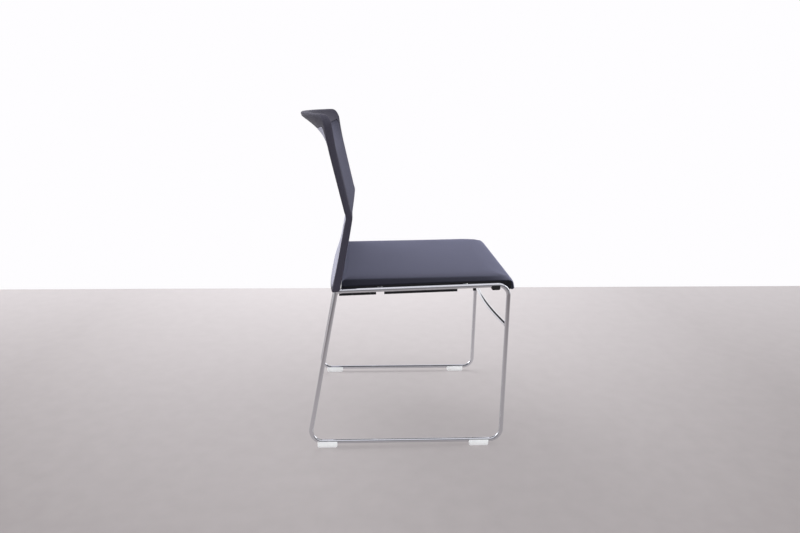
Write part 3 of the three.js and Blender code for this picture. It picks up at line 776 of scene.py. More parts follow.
class SweepTree(GeometryTree):
    """Geometry nodes that sweep a round rod along a line of edges."""

    def __init__(self) -> None:
        """Build the tree with its named sizes."""
        super().__init__("rod_sweep", {"Line": "Geometry", "Radius": "Float", "Sides": "Int"}, "Rod")
        given = self.given
        line = self.add("MeshToCurve", {"Mesh": given["Line"]}).outputs["Curve"]
        circle = self.add("CurvePrimitiveCircle", {"Radius": given["Radius"], "Resolution": given["Sides"]})
        sweep = self.add("CurveToMesh", {"Curve": line, "Profile Curve": circle.outputs["Curve"],
                                         "Fill Caps": True})
        self.close(sweep.outputs["Mesh"])

    def rod(self, name: str, path: Sequence[Vector], radius: float, finish: Finish,
            sides: int = 40) -> bpy.types.Object:
        """Sweep one rod.

        Args:
            name: The piece's name.
            path: The points of its centre line, in metres.
            radius: Its radius.
            finish: Its finish.
            sides: How many sides its section has.

        Returns:
            The rod as a plain mesh object.
        """
        mesh = bpy.data.meshes.new(name)
        mesh.from_pydata([tuple(p) for p in path], [(i, i + 1) for i in range(len(path) - 1)], [])
        made = self.run(name, mesh, finish, {"Radius": radius, "Sides": sides})
        shaded(made.data, finish, ROD_ANGLE)
        return made


class ScatterTree(GeometryTree):
    """Geometry nodes that set copies of one small part at the points of a mesh."""

    def __init__(self) -> None:
        """Build the tree with its named sizes."""
        super().__init__("part_scatter", {"Places": "Geometry", "Part": "Object", "Turn": "Vector"}, "Copies")
        given = self.given
        part = self.add("ObjectInfo", {"Object": given["Part"]}).outputs["Geometry"]
        copies = self.add("InstanceOnPoints", {"Points": given["Places"], "Instance": part,
                                               "Rotation": given["Turn"]})
        self.close(copies.outputs["Instances"])

    def copies(self, name: str, part: bpy.types.Object, places: Sequence[Vector], turn: Place,
               finish: Finish) -> bpy.types.Object:
        """Set copies of a part, which is used up.

        Args:
            name: The new piece's name.
            part: The part, around the origin.
            places: Where its copies stand, in metres.
            turn: How each copy is turned about X, Y and Z.
            finish: The copies' finish.

        Returns:
            The copies as one plain mesh object.
        """
        mesh = bpy.data.meshes.new(name)
        mesh.from_pydata([tuple(p) for p in places], [], [])
        made = self.run(name, mesh, finish, {"Part": part, "Turn": turn})
        shaded(made.data, finish)
        bpy.data.objects.remove(part)
        return made


SWEEP = SweepTree()
SCATTER = ScatterTree()


def bent_path(corners: Sequence[Vector], radii: Sequence[float], steps: int = 18) -> list[Vector]:
    """Join straight runs by round bends.

    Args:
        corners: The line's sharp corners, its ends included.
        radii: The bend radius at each inner corner.
        steps: How many steps a bend has.

    Returns:
        The points of the bent line.
    """
    points = [corners[0]]
    for before, corner, after, radius in zip(corners, corners[1:], corners[2:], radii):
        arriving = (corner - before).normalized()
        leaving = (after - corner).normalized()
        turn = arriving.angle(leaving)
        start = corner - arriving * radius * math.tan(turn / 2)
        inward = (leaving - arriving * arriving.dot(leaving)).normalized()
        for step in range(steps + 1):
            angle = turn * step / steps
            points.append(start + arriving * radius * math.sin(angle)
                          + inward * radius * (1 - math.cos(angle)))
    return points + [corners[-1]]


def lathe(name: str, profile: Sequence[tuple[float, float]], finish: Finish,
          sides: int = 40) -> bpy.types.Object:
    """Turn a profile about the Z axis.

    Args:
        name: The piece's name.
        profile: Radius and height of each point, the first and last on the axis.
        finish: The piece's finish.
        sides: How many sides it has.

    Returns:
        The turned piece.
    """
    ends = [(0.0, 0.0, profile[0][1]), (0.0, 0.0, profile[-1][1])]
    rings = profile[1:-1]
    points = list(ends)
    for radius, height in rings:
        for side in range(sides):
            angle = 2 * math.pi * side / sides
            points.append((radius * math.cos(angle), radius * math.sin(angle), height))
    faces: list[Face] = []
    for side in range(sides):
        after = (side + 1) % sides
        faces.append((0, 2 + side, 2 + after))
        for ring in range(len(rings) - 1):
            low, high = 2 + ring * sides, 2 + (ring + 1) * sides
            faces.append((low + side, high + side, high + after, low + after))
        last = 2 + (len(rings) - 1) * sides
        faces.append((1, last + after, last + side))
    return shell_object(name, points, faces, finish)


@dataclass
class SideFrames:
    """The two bent rods that carry everything, with the brace between their front legs."""

    rod_radius: float = 0.0055
    rail_half_width: float = 0.2538
    rail_front: tuple[float, float] = (-0.252, 0.428)
    rail_rear: tuple[float, float] = (0.1735, 0.413)
    runner_half_width: float = 0.256
    runner_z: float = 0.0136
    runner_front_y: float = -0.247
    runner_rear_y: float = 0.247
    bottom_bend: float = 0.030
    top_bend: float = 0.026
    upright_top_z: float = 0.560
    collar_radius: float = 0.0063
    collar_length: float = 0.013
    brace_radius: float = 0.005
    brace_z: float = 0.322
    brace_bow: float = 0.024
    brace_rise: float = 0.006
    brace_steps: int = 48
    bead_radius: float = 0.0012
    bead_steps: int = 36
    bead_sides: int = 12
    rod_sides: int = 48

    def leg_y(self, z: float) -> float:
        """Give where the rear leg's centre line is at a height, above the rails too."""
        rail_y, rail_z = self.rail_rear
        slope = (rail_y - self.runner_rear_y) / (rail_z - self.runner_z)
        return self.runner_rear_y + slope * (z - self.runner_z) + SHIFT_Y

    def half_width(self, z: float, rail_z: float | None = None) -> float:
        """Give how far a leg's centre line is from the middle at a height."""
        top = self.rail_rear[1] if rail_z is None else rail_z
        share = (z - self.runner_z) / (top - self.runner_z)
        return self.runner_half_width + (self.rail_half_width - self.runner_half_width) * share

    def front_leg_y(self, z: float) -> float:
        """Give where the front leg's centre line is at a height."""
        share = (z - self.runner_z) / (self.rail_front[1] - self.runner_z)
        return self.runner_front_y + (self.rail_front[0] - self.runner_front_y) * share + SHIFT_Y

    def rail(self, side: Side) -> tuple[Vector, Vector]:
        """Give the front and the rear end of a rail's centre line."""
        front, rear = (Vector((side.value * self.rail_half_width, y + SHIFT_Y, z))
                       for y, z in (self.rail_front, self.rail_rear))
        return front, rear

    def path(self, side: Side) -> list[Vector]:
        """Give a side frame's centre line, from inside the back down, along the floor, up and back."""
        sign = side.value
        top = self.upright_top_z
        front, rear = self.rail(side)
        corners = [
            Vector((sign * self.half_width(top), self.leg_y(top), top)),
            Vector((sign * self.runner_half_width, self.runner_rear_y + SHIFT_Y, self.runner_z)),
            Vector((sign * self.runner_half_width, self.runner_front_y + SHIFT_Y, self.runner_z)),
            front,
            rear + (front - rear).normalized() * (self.rod_radius + FIT),
        ]
        return bent_path(corners, [self.bottom_bend, self.bottom_bend, self.top_bend])

    def collar(self, side: Side) -> bpy.types.Object:
        """Make the welded sleeve where a rail meets its rear leg."""
        front, rear = self.rail(side)
        along = (front - rear).normalized()
        radius, length, chamfer = self.collar_radius, self.collar_length, self.collar_radius - self.rod_radius
        profile = [(0.0, 0.0), (radius, 0.0), (radius, length - chamfer), (radius - chamfer / 3, length),
                   (radius - chamfer, length + chamfer), (0.0, length + chamfer)]
        sleeve = lathe(f"{side.label}_collar", profile, CHROME)
        turn = Vector((0, 0, 1)).rotation_difference(along).to_matrix().to_4x4()
        sleeve.data.transform(Matrix.Translation(rear) @ turn)
        return sleeve

    def brace_path(self) -> list[Vector]:
        """Give the bowed centre line of the brace between the front legs."""
        half = self.half_width(self.brace_z, self.rail_front[1]) - self.rod_radius
        points = []
        for step in range(self.brace_steps + 1):
            across = 2 * step / self.brace_steps - 1
            lift = 1 - across * across
            points.append(Vector((half * across, self.front_leg_y(self.brace_z) + self.brace_bow * lift,
                                  self.brace_z + self.brace_rise * lift)))
        return points

    def bead(self, side: Side) -> bpy.types.Object:
        """Make the weld bead round the brace's end on a front leg."""
        end = self.brace_path()[0 if side is Side.RIGHT else -1]
        out = side.value * (self.bead_radius / 2)
        ring = [end + Vector((-out, self.brace_radius * math.cos(a), self.brace_radius * math.sin(a)))
                for a in (2 * math.pi * step / self.bead_steps for step in range(self.bead_steps + 1))]
        return SWEEP.rod(f"{side.label}_brace_weld", ring, self.bead_radius, CHROME, self.bead_sides)

    def build(self) -> None:
        """Make both side frames, the brace and the beads that weld it."""
        for side in Side:
            name = f"{side.label}_side_frame"
            rod = SWEEP.rod(f"{name}_rod", self.path(side), self.rod_radius, CHROME, self.rod_sides)
            settle(rod, "chromed_rod", name)
            settle(self.collar(side), "chromed_rod")
            settle(self.bead(side), "chromed_rod")
        brace = SWEEP.rod("front_brace_rod", self.brace_path(), self.brace_radius, CHROME)
        settle(brace, "chromed_rod", "front_cross_brace")


@dataclass
class SeatPlace:
    """The seat's own tilted frame: the rails' centre lines lie at height zero there."""

    front_y: float = -0.252
    front_z: float = 0.428
    rear_y: float = 0.1735
    rear_z: float = 0.413

    @property
    def tilt(self) -> float:
        """The angle by which the seat falls towards the back."""
        return -math.atan((self.front_z - self.rear_z) / (self.rear_y - self.front_y))

    @property
    def matrix(self) -> Matrix:
        """The transform from the seat's frame to the chair's."""
        rise = self.front_z - math.tan(self.tilt) * self.front_y
        return Matrix.Translation((0, SHIFT_Y, rise)) @ Matrix.Rotation(self.tilt, 4, "X")


@dataclass
class PaddedForm:
    """How a padded piece is puffed by cloth simulation, and how far its skin may move."""

    pressure: float = 4.0
    mass: float = 0.3
    stretch: float = 20.0
    bending: float = 2.0
    quality: int = 6
    cap: float = 0.0025
    frames: int = 20

    def puff(self, piece: bpy.types.Object, hold: Callable[[np.ndarray], np.ndarray], finish: Finish,
             shape: Callable[[np.ndarray], np.ndarray] | None = None) -> bpy.types.Object:
        """Puff and smooth a closed soft piece.

        Args:
            piece: The piece, with its plain closed mesh.
            hold: Gives from 0 to 1 how firmly each point is held.
            finish: The piece's finish.
            shape: Moves the points after the simulation, if anything has to.

        Returns:
            The piece, with the puffed mesh applied.
        """
        mesh = piece.data
        rest = np.zeros(len(mesh.vertices) * 3)
        mesh.vertices.foreach_get("co", rest)
        rest = rest.reshape(-1, 3)
        rest = self.simulate(piece, rest, np.clip(hold(rest), 0, 1))
        if shape is not None:
            rest = shape(rest)
        piece.data.vertices.foreach_set("co", rest.astype(np.float32).ravel())
        piece.data.update()
        divide = piece.modifiers.new("skin", "SUBSURF")
        divide.levels = divide.render_levels = 1
        finished(piece)
        shaded(piece.data, finish, FABRIC_ANGLE)
        return piece

    def simulate(self, piece: bpy.types.Object, rest: np.ndarray, held: np.ndarray) -> np.ndarray:
        """Blow the skin up as cloth and cap how far each point moves.

        Args:
            piece: The piece with its plain skin.
            rest: Its points before the simulation.
            held: From 0 to 1, how firmly each point is held.

        Returns:
            The points after it.
        """
        group = piece.vertex_groups.new(name="held")
        for step in range(11):
            members = np.nonzero(np.round(held * 10) == step)[0].tolist()
            if members and step:
                group.add(members, step / 10, "REPLACE")
        cloth = piece.modifiers.new("cloth", "CLOTH")
        skin = cloth.settings
        skin.quality = self.quality
        skin.mass = self.mass
        skin.tension_stiffness = skin.compression_stiffness = self.stretch
        skin.bending_stiffness = self.bending
        skin.use_pressure = True
        skin.uniform_pressure_force = self.pressure
        skin.effector_weights.gravity = 0
        skin.vertex_group_mass = "held"
        cloth.collision_settings.use_collision = False
        cloth.collision_settings.use_self_collision = False
        cloth.point_cache.frame_start = 1
        cloth.point_cache.frame_end = self.frames
        for step in range(1, self.frames + 1):
            bpy.context.scene.frame_set(step)
        graph = bpy.context.evaluated_depsgraph_get()
        result = bpy.data.meshes.new_from_object(piece.evaluated_get(graph), depsgraph=graph)
        moved = np.zeros(len(rest) * 3)
        result.vertices.foreach_get("co", moved)
        step_by = moved.reshape(-1, 3) - rest
        bpy.data.meshes.remove(result)
        piece.modifiers.clear()
        piece.vertex_groups.clear()
        bpy.context.scene.frame_set(1)
        length = np.linalg.norm(step_by, axis=1, keepdims=True)
        capped = self.cap * np.tanh(length / self.cap)
        log.info("%s: the cloth moved up to %.1f mm, %.1f mm after the cap", piece.name,
                 length.max() * 1000, capped.max() * 1000)
        return rest + step_by * np.where(length > 0, capped / np.maximum(length, 1e-9), 0)


def loft(rings: np.ndarray) -> tuple[list, list[Face]]:
    """Skin a row of closed rings and cap its two ends.

    Args:
        rings: Points as rings by points by three.

    Returns:
        The vertices and the faces.
    """
    count, around = rings.shape[:2]
    faces: list[Face] = []
    for ring in range(count - 1):
        for point in range(around):
            after = (point + 1) % around
            faces.append((ring * around + point, ring * around + after,
                          (ring + 1) * around + after, (ring + 1) * around + point))
    faces.append(tuple(range(around)))
    faces.append(tuple((count - 1) * around + point for point in reversed(range(around))))
    return rings.reshape(-1, 3).tolist(), faces


@dataclass
class Seat:
    """The upholstered seat: cushion, board and shell, on cross bars welded between the rails."""

    place: SeatPlace = field(default_factory=SeatPlace)
    half_width: float = 0.2476
    rear_y: float = 0.161
    bottom_z: float = 0.0091
    rear_height: float = 0.0235
    front_height: float = 0.0175
    crown: float = 0.0035
    side_reach: float = 0.0146
    rim_share: float = 0.15
    side_curve_share: float = 0.4
    rear_radius: float = 0.012
    draw: float = 0.0025
    nose_inner_y: float = -0.259
    nose_front_y: float = -0.2698
    nose_length: float = 0.037
    nose_middle_z: float = -0.005
    nose_bottom_z: float = -0.016
    nose_end_lift: float = 0.003
    nose_curl: float = 0.0065
    nose_round_share: float = 0.62
    bevel_reach: float = 0.004
    bevel_drop: float = 0.0045
    corner_draw: float = 0.006
    corner_reach: float = 0.065
    corner_spread: float = 0.024
    crease_depth: float = 0.0006
    crease_pitch: float = 0.0085
    crease_reach: float = 0.028
    crease_foot: float = 0.0025
    board_half_width: float = 0.2256
    board_front_y: float = -0.226
    board_rear_y: float = 0.145
    board_corner: float = 0.024
    board_thickness: float = 0.005
    bar_rows: dict = field(default_factory=lambda: {Row.FRONT: -0.145, Row.REAR: 0.066})
    bar_radius: float = 0.0055
    tab_half_spacing: float = 0.150
    tab_reach: float = 0.022
    tab_thickness: float = 0.003
    screw_shank: float = 0.003
    screw_head: float = 0.0055
    screw_head_height: float = 0.0032
    screw_bite: float = 0.0036
    socket_radius: float = 0.002
    socket_depth: float = 0.0018
    rib_outer_x: float = 0.247
    rib_thickness: float = 0.0032
    rib_bottom_z: float = 0.0036
    rib_spans: tuple = ((-0.256, -0.151), (-0.139, -0.124), (0.0555, 0.0603), (0.0717, 0.0765))
    rear_steps: int = 7
    top_steps: int = 57
    top_spread: float = 1.15
    nose_overlap: float = 0.1
    nose_steps: int = 14
    curl_steps: int = 6
    side_steps: int = 9
    flat_steps: int = 67
    shell_rounding: float = 0.0006
    plate_rounding: float = 0.0004
    bumper_rounding: float = 0.0009
    socket_rounding: float = 0.00015
    form: PaddedForm = field(default_factory=PaddedForm)
    frames: SideFrames = field(default_factory=SideFrames)

    def section(self) -> np.ndarray:
        """Give the cushion's skin in section, from low at the rear over the top to under the nose.

        Returns:
            Rows of Y, Z, crown share and draw share, in the seat's frame.
        """
        rows = []
        radius = self.rear_radius
        for angle in np.linspace(0, math.pi / 2, self.rear_steps):
            rise = math.sin(angle)
            rows.append((self.rear_y - radius + radius * math.cos(angle),
                         self.rear_height - radius + radius * rise, rise, rise))
        nose_y = self.nose_front_y + self.nose_length
        spread = np.linspace(0, 1, self.top_steps)[1:] ** self.top_spread
        reach = nose_y + self.nose_overlap * self.nose_length - self.rear_y + radius
        for y in self.rear_y - radius + reach * spread:
            share = (self.rear_y - y) / (self.rear_y - nose_y)
            rows.append((y, self.rear_height + (self.front_height - self.rear_height) * share, 1.0, 1.0))
        for angle in np.linspace(0, math.pi / 2, self.nose_steps):
            rise = (self.front_height - self.nose_middle_z) * math.cos(angle)
            rows.append((nose_y - self.nose_length * math.sin(angle), self.nose_middle_z + rise,
                         math.cos(angle), 1.0))
        for angle in np.linspace(0, math.pi / 2, self.curl_steps)[1:]:
            rows.append((self.nose_front_y + self.nose_curl * (1 - math.cos(angle)),
                         self.nose_bottom_z + self.nose_curl * (1 - math.sin(angle)), 0.0, 1.0))
        return np.array(rows)

    def underside(self, section: np.ndarray) -> np.ndarray:
        """Give the point below or behind each point of the skin: flat, then bevelled, then down the nose.

        Args:
            section: The skin's rows.

        Returns:
            As many rows, for the side that lies on the shell.
        """
        bevel_y = self.nose_inner_y + self.bevel_reach
        rows = np.zeros_like(section)
        rows[:, 0] = section[:, 0]
        rows[:, 1] = self.bottom_z
        hanging = section[:, 0] < bevel_y
        share = np.linspace(0, 1, int(hanging.sum()))
        drop = (self.bottom_z - self.nose_bottom_z) * share
        rows[hanging, 0] = bevel_y - self.bevel_reach * np.clip(drop / self.bevel_drop, 0, 1)
        rows[hanging, 1] = self.bottom_z - drop
        return rows

    def rings(self) -> np.ndarray:
        """Loft the section across the seat: steep at both sides and drawn in at the front corners."""
        section = self.section()
        section = np.concatenate([section, self.underside(section)[::-1]])
        flat_half = self.half_width - self.side_reach
        angles = np.linspace(0, math.pi / 2, self.side_steps)[1:]
        rolled = [(math.sin(a), 1 - math.cos(a)) for a in angles]
        stations = [(-1, share, turn) for share, turn in reversed(rolled)]
        stations += [(side, 0.0, 0.0) for side in np.linspace(-1, 1, self.flat_steps)]
        stations += [(1, share, turn) for share, turn in rolled]
        middle_y = (self.rear_y + self.nose_front_y) / 2
        half_length = (self.rear_y - self.nose_front_y) / 2
        y, z, lift, pull = section.T
        along = (y - middle_y) / half_length
        near_nose = np.clip(1 - (y - self.nose_inner_y) / self.corner_reach, 0, 1)
        below = np.maximum(0, self.nose_middle_z - z) / (self.nose_middle_z - self.nose_bottom_z)
        spread = self.corner_spread * near_nose ** 2 * (z > self.nose_middle_z)
        rings = []
        for side, share, turn in stations:
            x = side * (flat_half - spread) + np.sign(side) * (self.side_reach + spread) * share
            fall = (share + self.side_curve_share * share * share) / (1 + self.side_curve_share)
            width = 1 - self.draw * (1 - along ** 2) / self.half_width
            drop = np.maximum(0, z - self.bottom_z) * (1 - self.rim_share) * fall
            crowned = z + self.crown * lift * (1 - (x / self.half_width) ** 2) * (1 - along ** 4) - drop
            drawn = y + (self.nose_inner_y - y) * self.nose_round_share * (pull - lift) * turn
            drawn += self.corner_draw * near_nose * lift * turn
            rings.append(np.stack([x * width, drawn, crowned + self.nose_end_lift * below * turn], 1))
        return np.array(rings)

    def creased(self, place: np.ndarray) -> np.ndarray:
        """Gather the fabric in small upright creases on the side panels near the rear corners."""
        x, y, z = place.T
        raised = np.clip((z - self.bottom_z) / self.crease_foot, 0, 1)
        panel = np.clip((np.abs(x) - self.half_width + self.side_reach) / (0.4 * self.side_reach), 0, 1)
        fade = np.exp(-np.maximum(0, self.rear_y - y) / self.crease_reach)
        wave = np.sin(2 * math.pi * (self.rear_y - y) / self.crease_pitch) * raised
        moved = place.copy()
        moved[:, 0] -= np.sign(x) * self.crease_depth * panel * fade * (1 + wave) / 2
        moved[:, 2] -= self.crease_depth * panel * fade * (1 + wave) / 2
        return moved

    def board_block(self, grow: float, bottom: float, top: float) -> bpy.types.Object:
        """Make a slab of the board's outline, grown by a clearance, in the chair's frame."""
        half = self.board_half_width + grow
        front, rear = self.board_front_y - grow, self.board_rear_y + grow
        corner = self.board_corner + grow
        centres = [(half - corner, rear - corner, 0), (-half + corner, rear - corner, 1),
                   (-half + corner, front + corner, 2), (half - corner, front + corner, 3)]
        outline = []
        for x, y, quarter in centres:
            for angle in np.linspace(quarter * math.pi / 2, (quarter + 1) * math.pi / 2, 9):
                outline.append((x + corner * math.cos(angle), y + corner * math.sin(angle)))
        rings = np.array([[(x, y, z) for x, y in outline] for z in (bottom, top)])
        points, faces = loft(rings)
        block = shell_object("board_block", points, faces, PLYWOOD)
        block.data.transform(self.place.matrix)
        return block

    def cushion(self) -> bpy.types.Object:
        """Make the cushion: lofted, puffed as cloth, flat where it rests, with a pocket for the board."""
        rings = self.rings()
        half = rings.shape[1] // 2
        points, faces = loft(rings)
        faces = faces[:-2]
        for end in (0, (len(rings) - 1) * rings.shape[1]):
            last = end + rings.shape[1] - 1
            faces += [(end + i, end + i + 1, last - i - 1, last - i) for i in range(half - 1)]
        piece = shell_object("seat_cushion_cover", points, faces, SEAT_FABRIC)

        def hold(place: np.ndarray) -> np.ndarray:
            x, y, z = place.T
            above = np.clip((z - self.bottom_z - 0.001) / 0.004, 0, 1) * (y > self.nose_inner_y)
            edge = np.clip(np.abs(np.abs(x) - self.half_width + self.side_reach) / 0.006, 0.3, 1)
            return 1 - above * edge

        def rest_flat(place: np.ndarray) -> np.ndarray:
            flat = self.creased(place)
            under = (flat[:, 1] > self.nose_inner_y + self.bevel_reach) & (flat[:, 2] < self.bottom_z + 0.001)
            flat[under, 2] = np.maximum(flat[under, 2], self.bottom_z)
            return flat

        self.form.puff(piece, hold, SEAT_FABRIC, rest_flat)
        piece.data.transform(self.place.matrix)
        pocket = self.board_block(FIT, self.bottom_z - 0.004, self.bottom_z + self.board_thickness + FIT)
        cut(piece, pocket)
        shaded(piece.data, SEAT_FABRIC, FABRIC_ANGLE)
        return piece

    def screw(self) -> bpy.types.Object:
        """Make one button head screw along +Z, its head's underside at height zero."""
        head, height, shank = self.screw_head, self.screw_head_height, self.screw_shank
        underside = self.bar_radius - self.tab_thickness - FIT
        length = self.bottom_z + self.screw_bite - underside
        dome = [(head * math.sin(a), -height * math.cos(a)) for a in np.linspace(0.45, math.pi / 2, 7)]
        profile = [(0.0, dome[0][1]), *dome, (shank, 0.0), (shank, length - shank / 2), (shank / 2, length),
                   (0.0, length)]
        body = lathe("screw", profile, ZINC)
        deep = self.socket_depth
        key = lathe("key", [(0.0, -2 * height), (self.socket_radius, -2 * height),
                            (self.socket_radius, deep - height), (0.0, deep - height)], ZINC, 6)
        return bevelled(cut(body, key), self.socket_rounding)

    def shell(self) -> bpy.types.Object:
        """Copy the shell, with low ribs that close the gap over the rails where its flange is left out."""
        piece = rounded_copy("seat_shell_moulding", "seat_shell", BLACK_SHELL, self.shell_rounding)
        ribs = []
        for side in Side:
            xs = sorted((side.value * self.rib_outer_x, side.value * (self.rib_outer_x - self.rib_thickness)))
            for start, end in self.rib_spans:
                ring = [(xs[0], start), (xs[1], start), (xs[1], end), (xs[0], end)]
                levels = (self.rib_bottom_z, self.bottom_z - self.rib_thickness / 2)
                points, faces = loft(np.array([[(x, y, z) for x, y in ring] for z in levels]))
                rib = shell_object("shell_rib", points, faces, BLACK_SHELL)
                rib.data.transform(self.place.matrix)
                ribs.append(rib)
        return cut(piece, *ribs, operation="UNION")

    def build(self) -> None:
        """Make and dress every piece of the seat."""
        cushion = settle(self.cushion(), "upholstery", "seat_cushion")
        settle(self.shell(), "black_shell", "seat_shell")
        board = rounded_copy("seat_plywood_board", "seat_board", PLYWOOD, self.plate_rounding)
        settle(board, "plywood", "seat_board")
        places = []
        half = self.frames.rail_half_width - self.frames.rod_radius
        underside = self.bar_radius - self.tab_thickness - FIT
        for row, y in self.bar_rows.items():
            middle_y = y + self.bar_radius + FIT + self.tab_reach / 2
            line = [self.place.matrix @ Vector((sign * half, y, 0)) for sign in (-1, 1)]
            bar = SWEEP.rod(f"{row.value}_seat_bar", line, self.bar_radius, ZINC)
            settle(bar, "plain_steel", f"{row.value}_cross_bar")
            for side in Side:
                node = f"seat_tab_{row.value}_{side.label}"
                settle(rounded_copy(f"{node}_plate", node, ZINC, self.plate_rounding), "plain_steel", node)
                spot = Vector((side.value * self.tab_half_spacing, middle_y, underside))
                places.append(self.place.matrix @ spot)
        screws = SCATTER.copies("seat_screws", self.screw(), places, (self.place.tilt, 0, 0), ZINC)
        nodes = [f"seat_screw_{row.value}_{side.label}" for row in Row for side in Side]
        settle(screws, "plain_steel", *nodes)
        for side in Side:
            node = f"stacking_bumper_{side.label}"
            settle(rounded_copy(f"{node}_pad", node, RUBBER, self.bumper_rounding), "black_rubber", node)


@dataclass
class BackForm:
    """The curved surfaces that the back's frame, panel and pad share."""

    bottom_z: float = 0.411
    kink_z: float = 0.594
    top_z: float = 0.8365
    kink_softness: float = 0.016
    upper_lean: float = 0.236
    depth_bottom: float = 0.0186
    depth_kink: float = 0.016
    depth_top: float = 0.0196
    top_curl: float = 0.007
    lip_flare: float = 0.0658
    lip_tip_z: float = 0.826
    lip_start_z: float = 0.734
    lip_power: float = 2.3
    lip_softness: float = 0.0022
    hollow_lower: float = 0.0015
    hollow_upper: float = 0.006
    hollow_rise: float = 0.090
    bulge: float = 0.008
    bulge_reach: float = 0.060
    half_width: float = 0.2613
    frames: SideFrames = field(default_factory=SideFrames)

    def member_y(self, z: np.ndarray) -> np.ndarray:
        """Give the side members' middle line: the rod's below the kink, leaning back above, curled on top."""
        start = self.frames.leg_y(0.0)
        slope = self.frames.leg_y(1.0) - start
        lower = start + slope * z
        upper = start + slope * self.kink_z + self.upper_lean * (z - self.kink_z)
        share = np.clip((z - self.kink_z + self.kink_softness) / (2 * self.kink_softness), 0, 1)
        curl = self.top_curl * self.lip_share(z) ** 2
        return lower + (upper - lower) * share * share * (3 - 2 * share) - curl

    def lip_share(self, z: np.ndarray) -> np.ndarray:
        """Give how far up the lip a height lies, from 0 where it starts to 1 at its tip."""
        return np.clip((z - self.lip_start_z) / (self.lip_tip_z - self.lip_start_z), 0, 1)

    def depth(self, z: np.ndarray) -> np.ndarray:
        """Give how deep the side members are from front to rear."""
        lower = (z - self.bottom_z) / (self.kink_z - self.bottom_z)
        upper = (z - self.kink_z) / (self.lip_tip_z - self.kink_z)
        below = self.depth_bottom + (self.depth_kink - self.depth_bottom) * lower
        above = self.depth_kink + (self.depth_top - self.depth_kink) * upper
        return np.where(z < self.kink_z, below, above)

    def sag(self, z: np.ndarray) -> np.ndarray:
        """Give how far the middle lies behind the sides: the back's hollow and the lip's flare."""
        rise = np.clip((z - self.kink_z) / self.hollow_rise, 0, 1)
        hollow = self.hollow_lower + (self.hollow_upper - self.hollow_lower) * rise * rise * (3 - 2 * rise)
        return hollow + self.lip_flare * self.lip_share(z) ** self.lip_power

    def level(self, z: np.ndarray) -> np.ndarray:
        """Give the height that counts for the depth: it eases off at the lip's tip, which rounds the tip."""
        soft = self.lip_softness
        return self.lip_tip_z - soft * np.logaddexp(0, (self.lip_tip_z - z) / soft)

    def front(self, x: np.ndarray, z: np.ndarray) -> np.ndarray:
        """Give the depth of the front surface."""
        level = self.level(z)
        across = x / self.half_width
        return self.member_y(level) - self.depth(level) / 2 + self.sag(level) * (1 - across ** 2)

    def rear(self, x: np.ndarray, z: np.ndarray) -> np.ndarray:
        """Give the depth of the rear surface, which swells near the bottom."""
        share = np.clip((z - self.bottom_z) / self.bulge_reach, 0, 1)
        hump = self.bulge * np.cos(share * math.pi / 2) ** 2
        return self.front(x, z) + self.depth(self.level(z)) + hump * (1 - (x / self.half_width) ** 4)


def rounded_loop(half_width: float, bottom: float, top: float, low_corner: float, high_corner: float,
                 counts: tuple[int, int, int]) -> np.ndarray:
    """Walk round an upright rectangle with round corners.

    Args:
        half_width: Half its width along X.
        bottom: Its lowest height.
        top: Its highest height.
        low_corner: The radius of its lower corners.
        high_corner: The radius of its upper corners.
        counts: Steps along the bottom and top, along a side and round a corner.

    Returns:
        Points as rows of X and Z.
    """
    flat, upright, corner = counts
    arcs = [(half_width - low_corner, bottom + low_corner, low_corner, -90),
            (half_width - high_corner, top - high_corner, high_corner, 0),
            (-half_width + high_corner, top - high_corner, high_corner, 90),
            (-half_width + low_corner, bottom + low_corner, low_corner, 180)]
    runs = [upright, flat, upright, flat]
    points: list[np.ndarray] = []
    for (x, z, radius, start), (next_x, next_z, next_radius, _), run in zip(arcs, arcs[1:] + arcs[:1], runs):
        angles = np.radians(np.linspace(start, start + 90, corner + 1))
        arc = np.stack([x + radius * np.cos(angles), z + radius * np.sin(angles)], 1)
        end = math.radians(start + 90)
        target = np.array([next_x + next_radius * math.cos(end), next_z + next_radius * math.sin(end)])
        shares = np.linspace(0, 1, run + 1)[1:-1, None]
        points += [arc, arc[-1] + (target - arc[-1]) * shares]
    return np.concatenate(points)


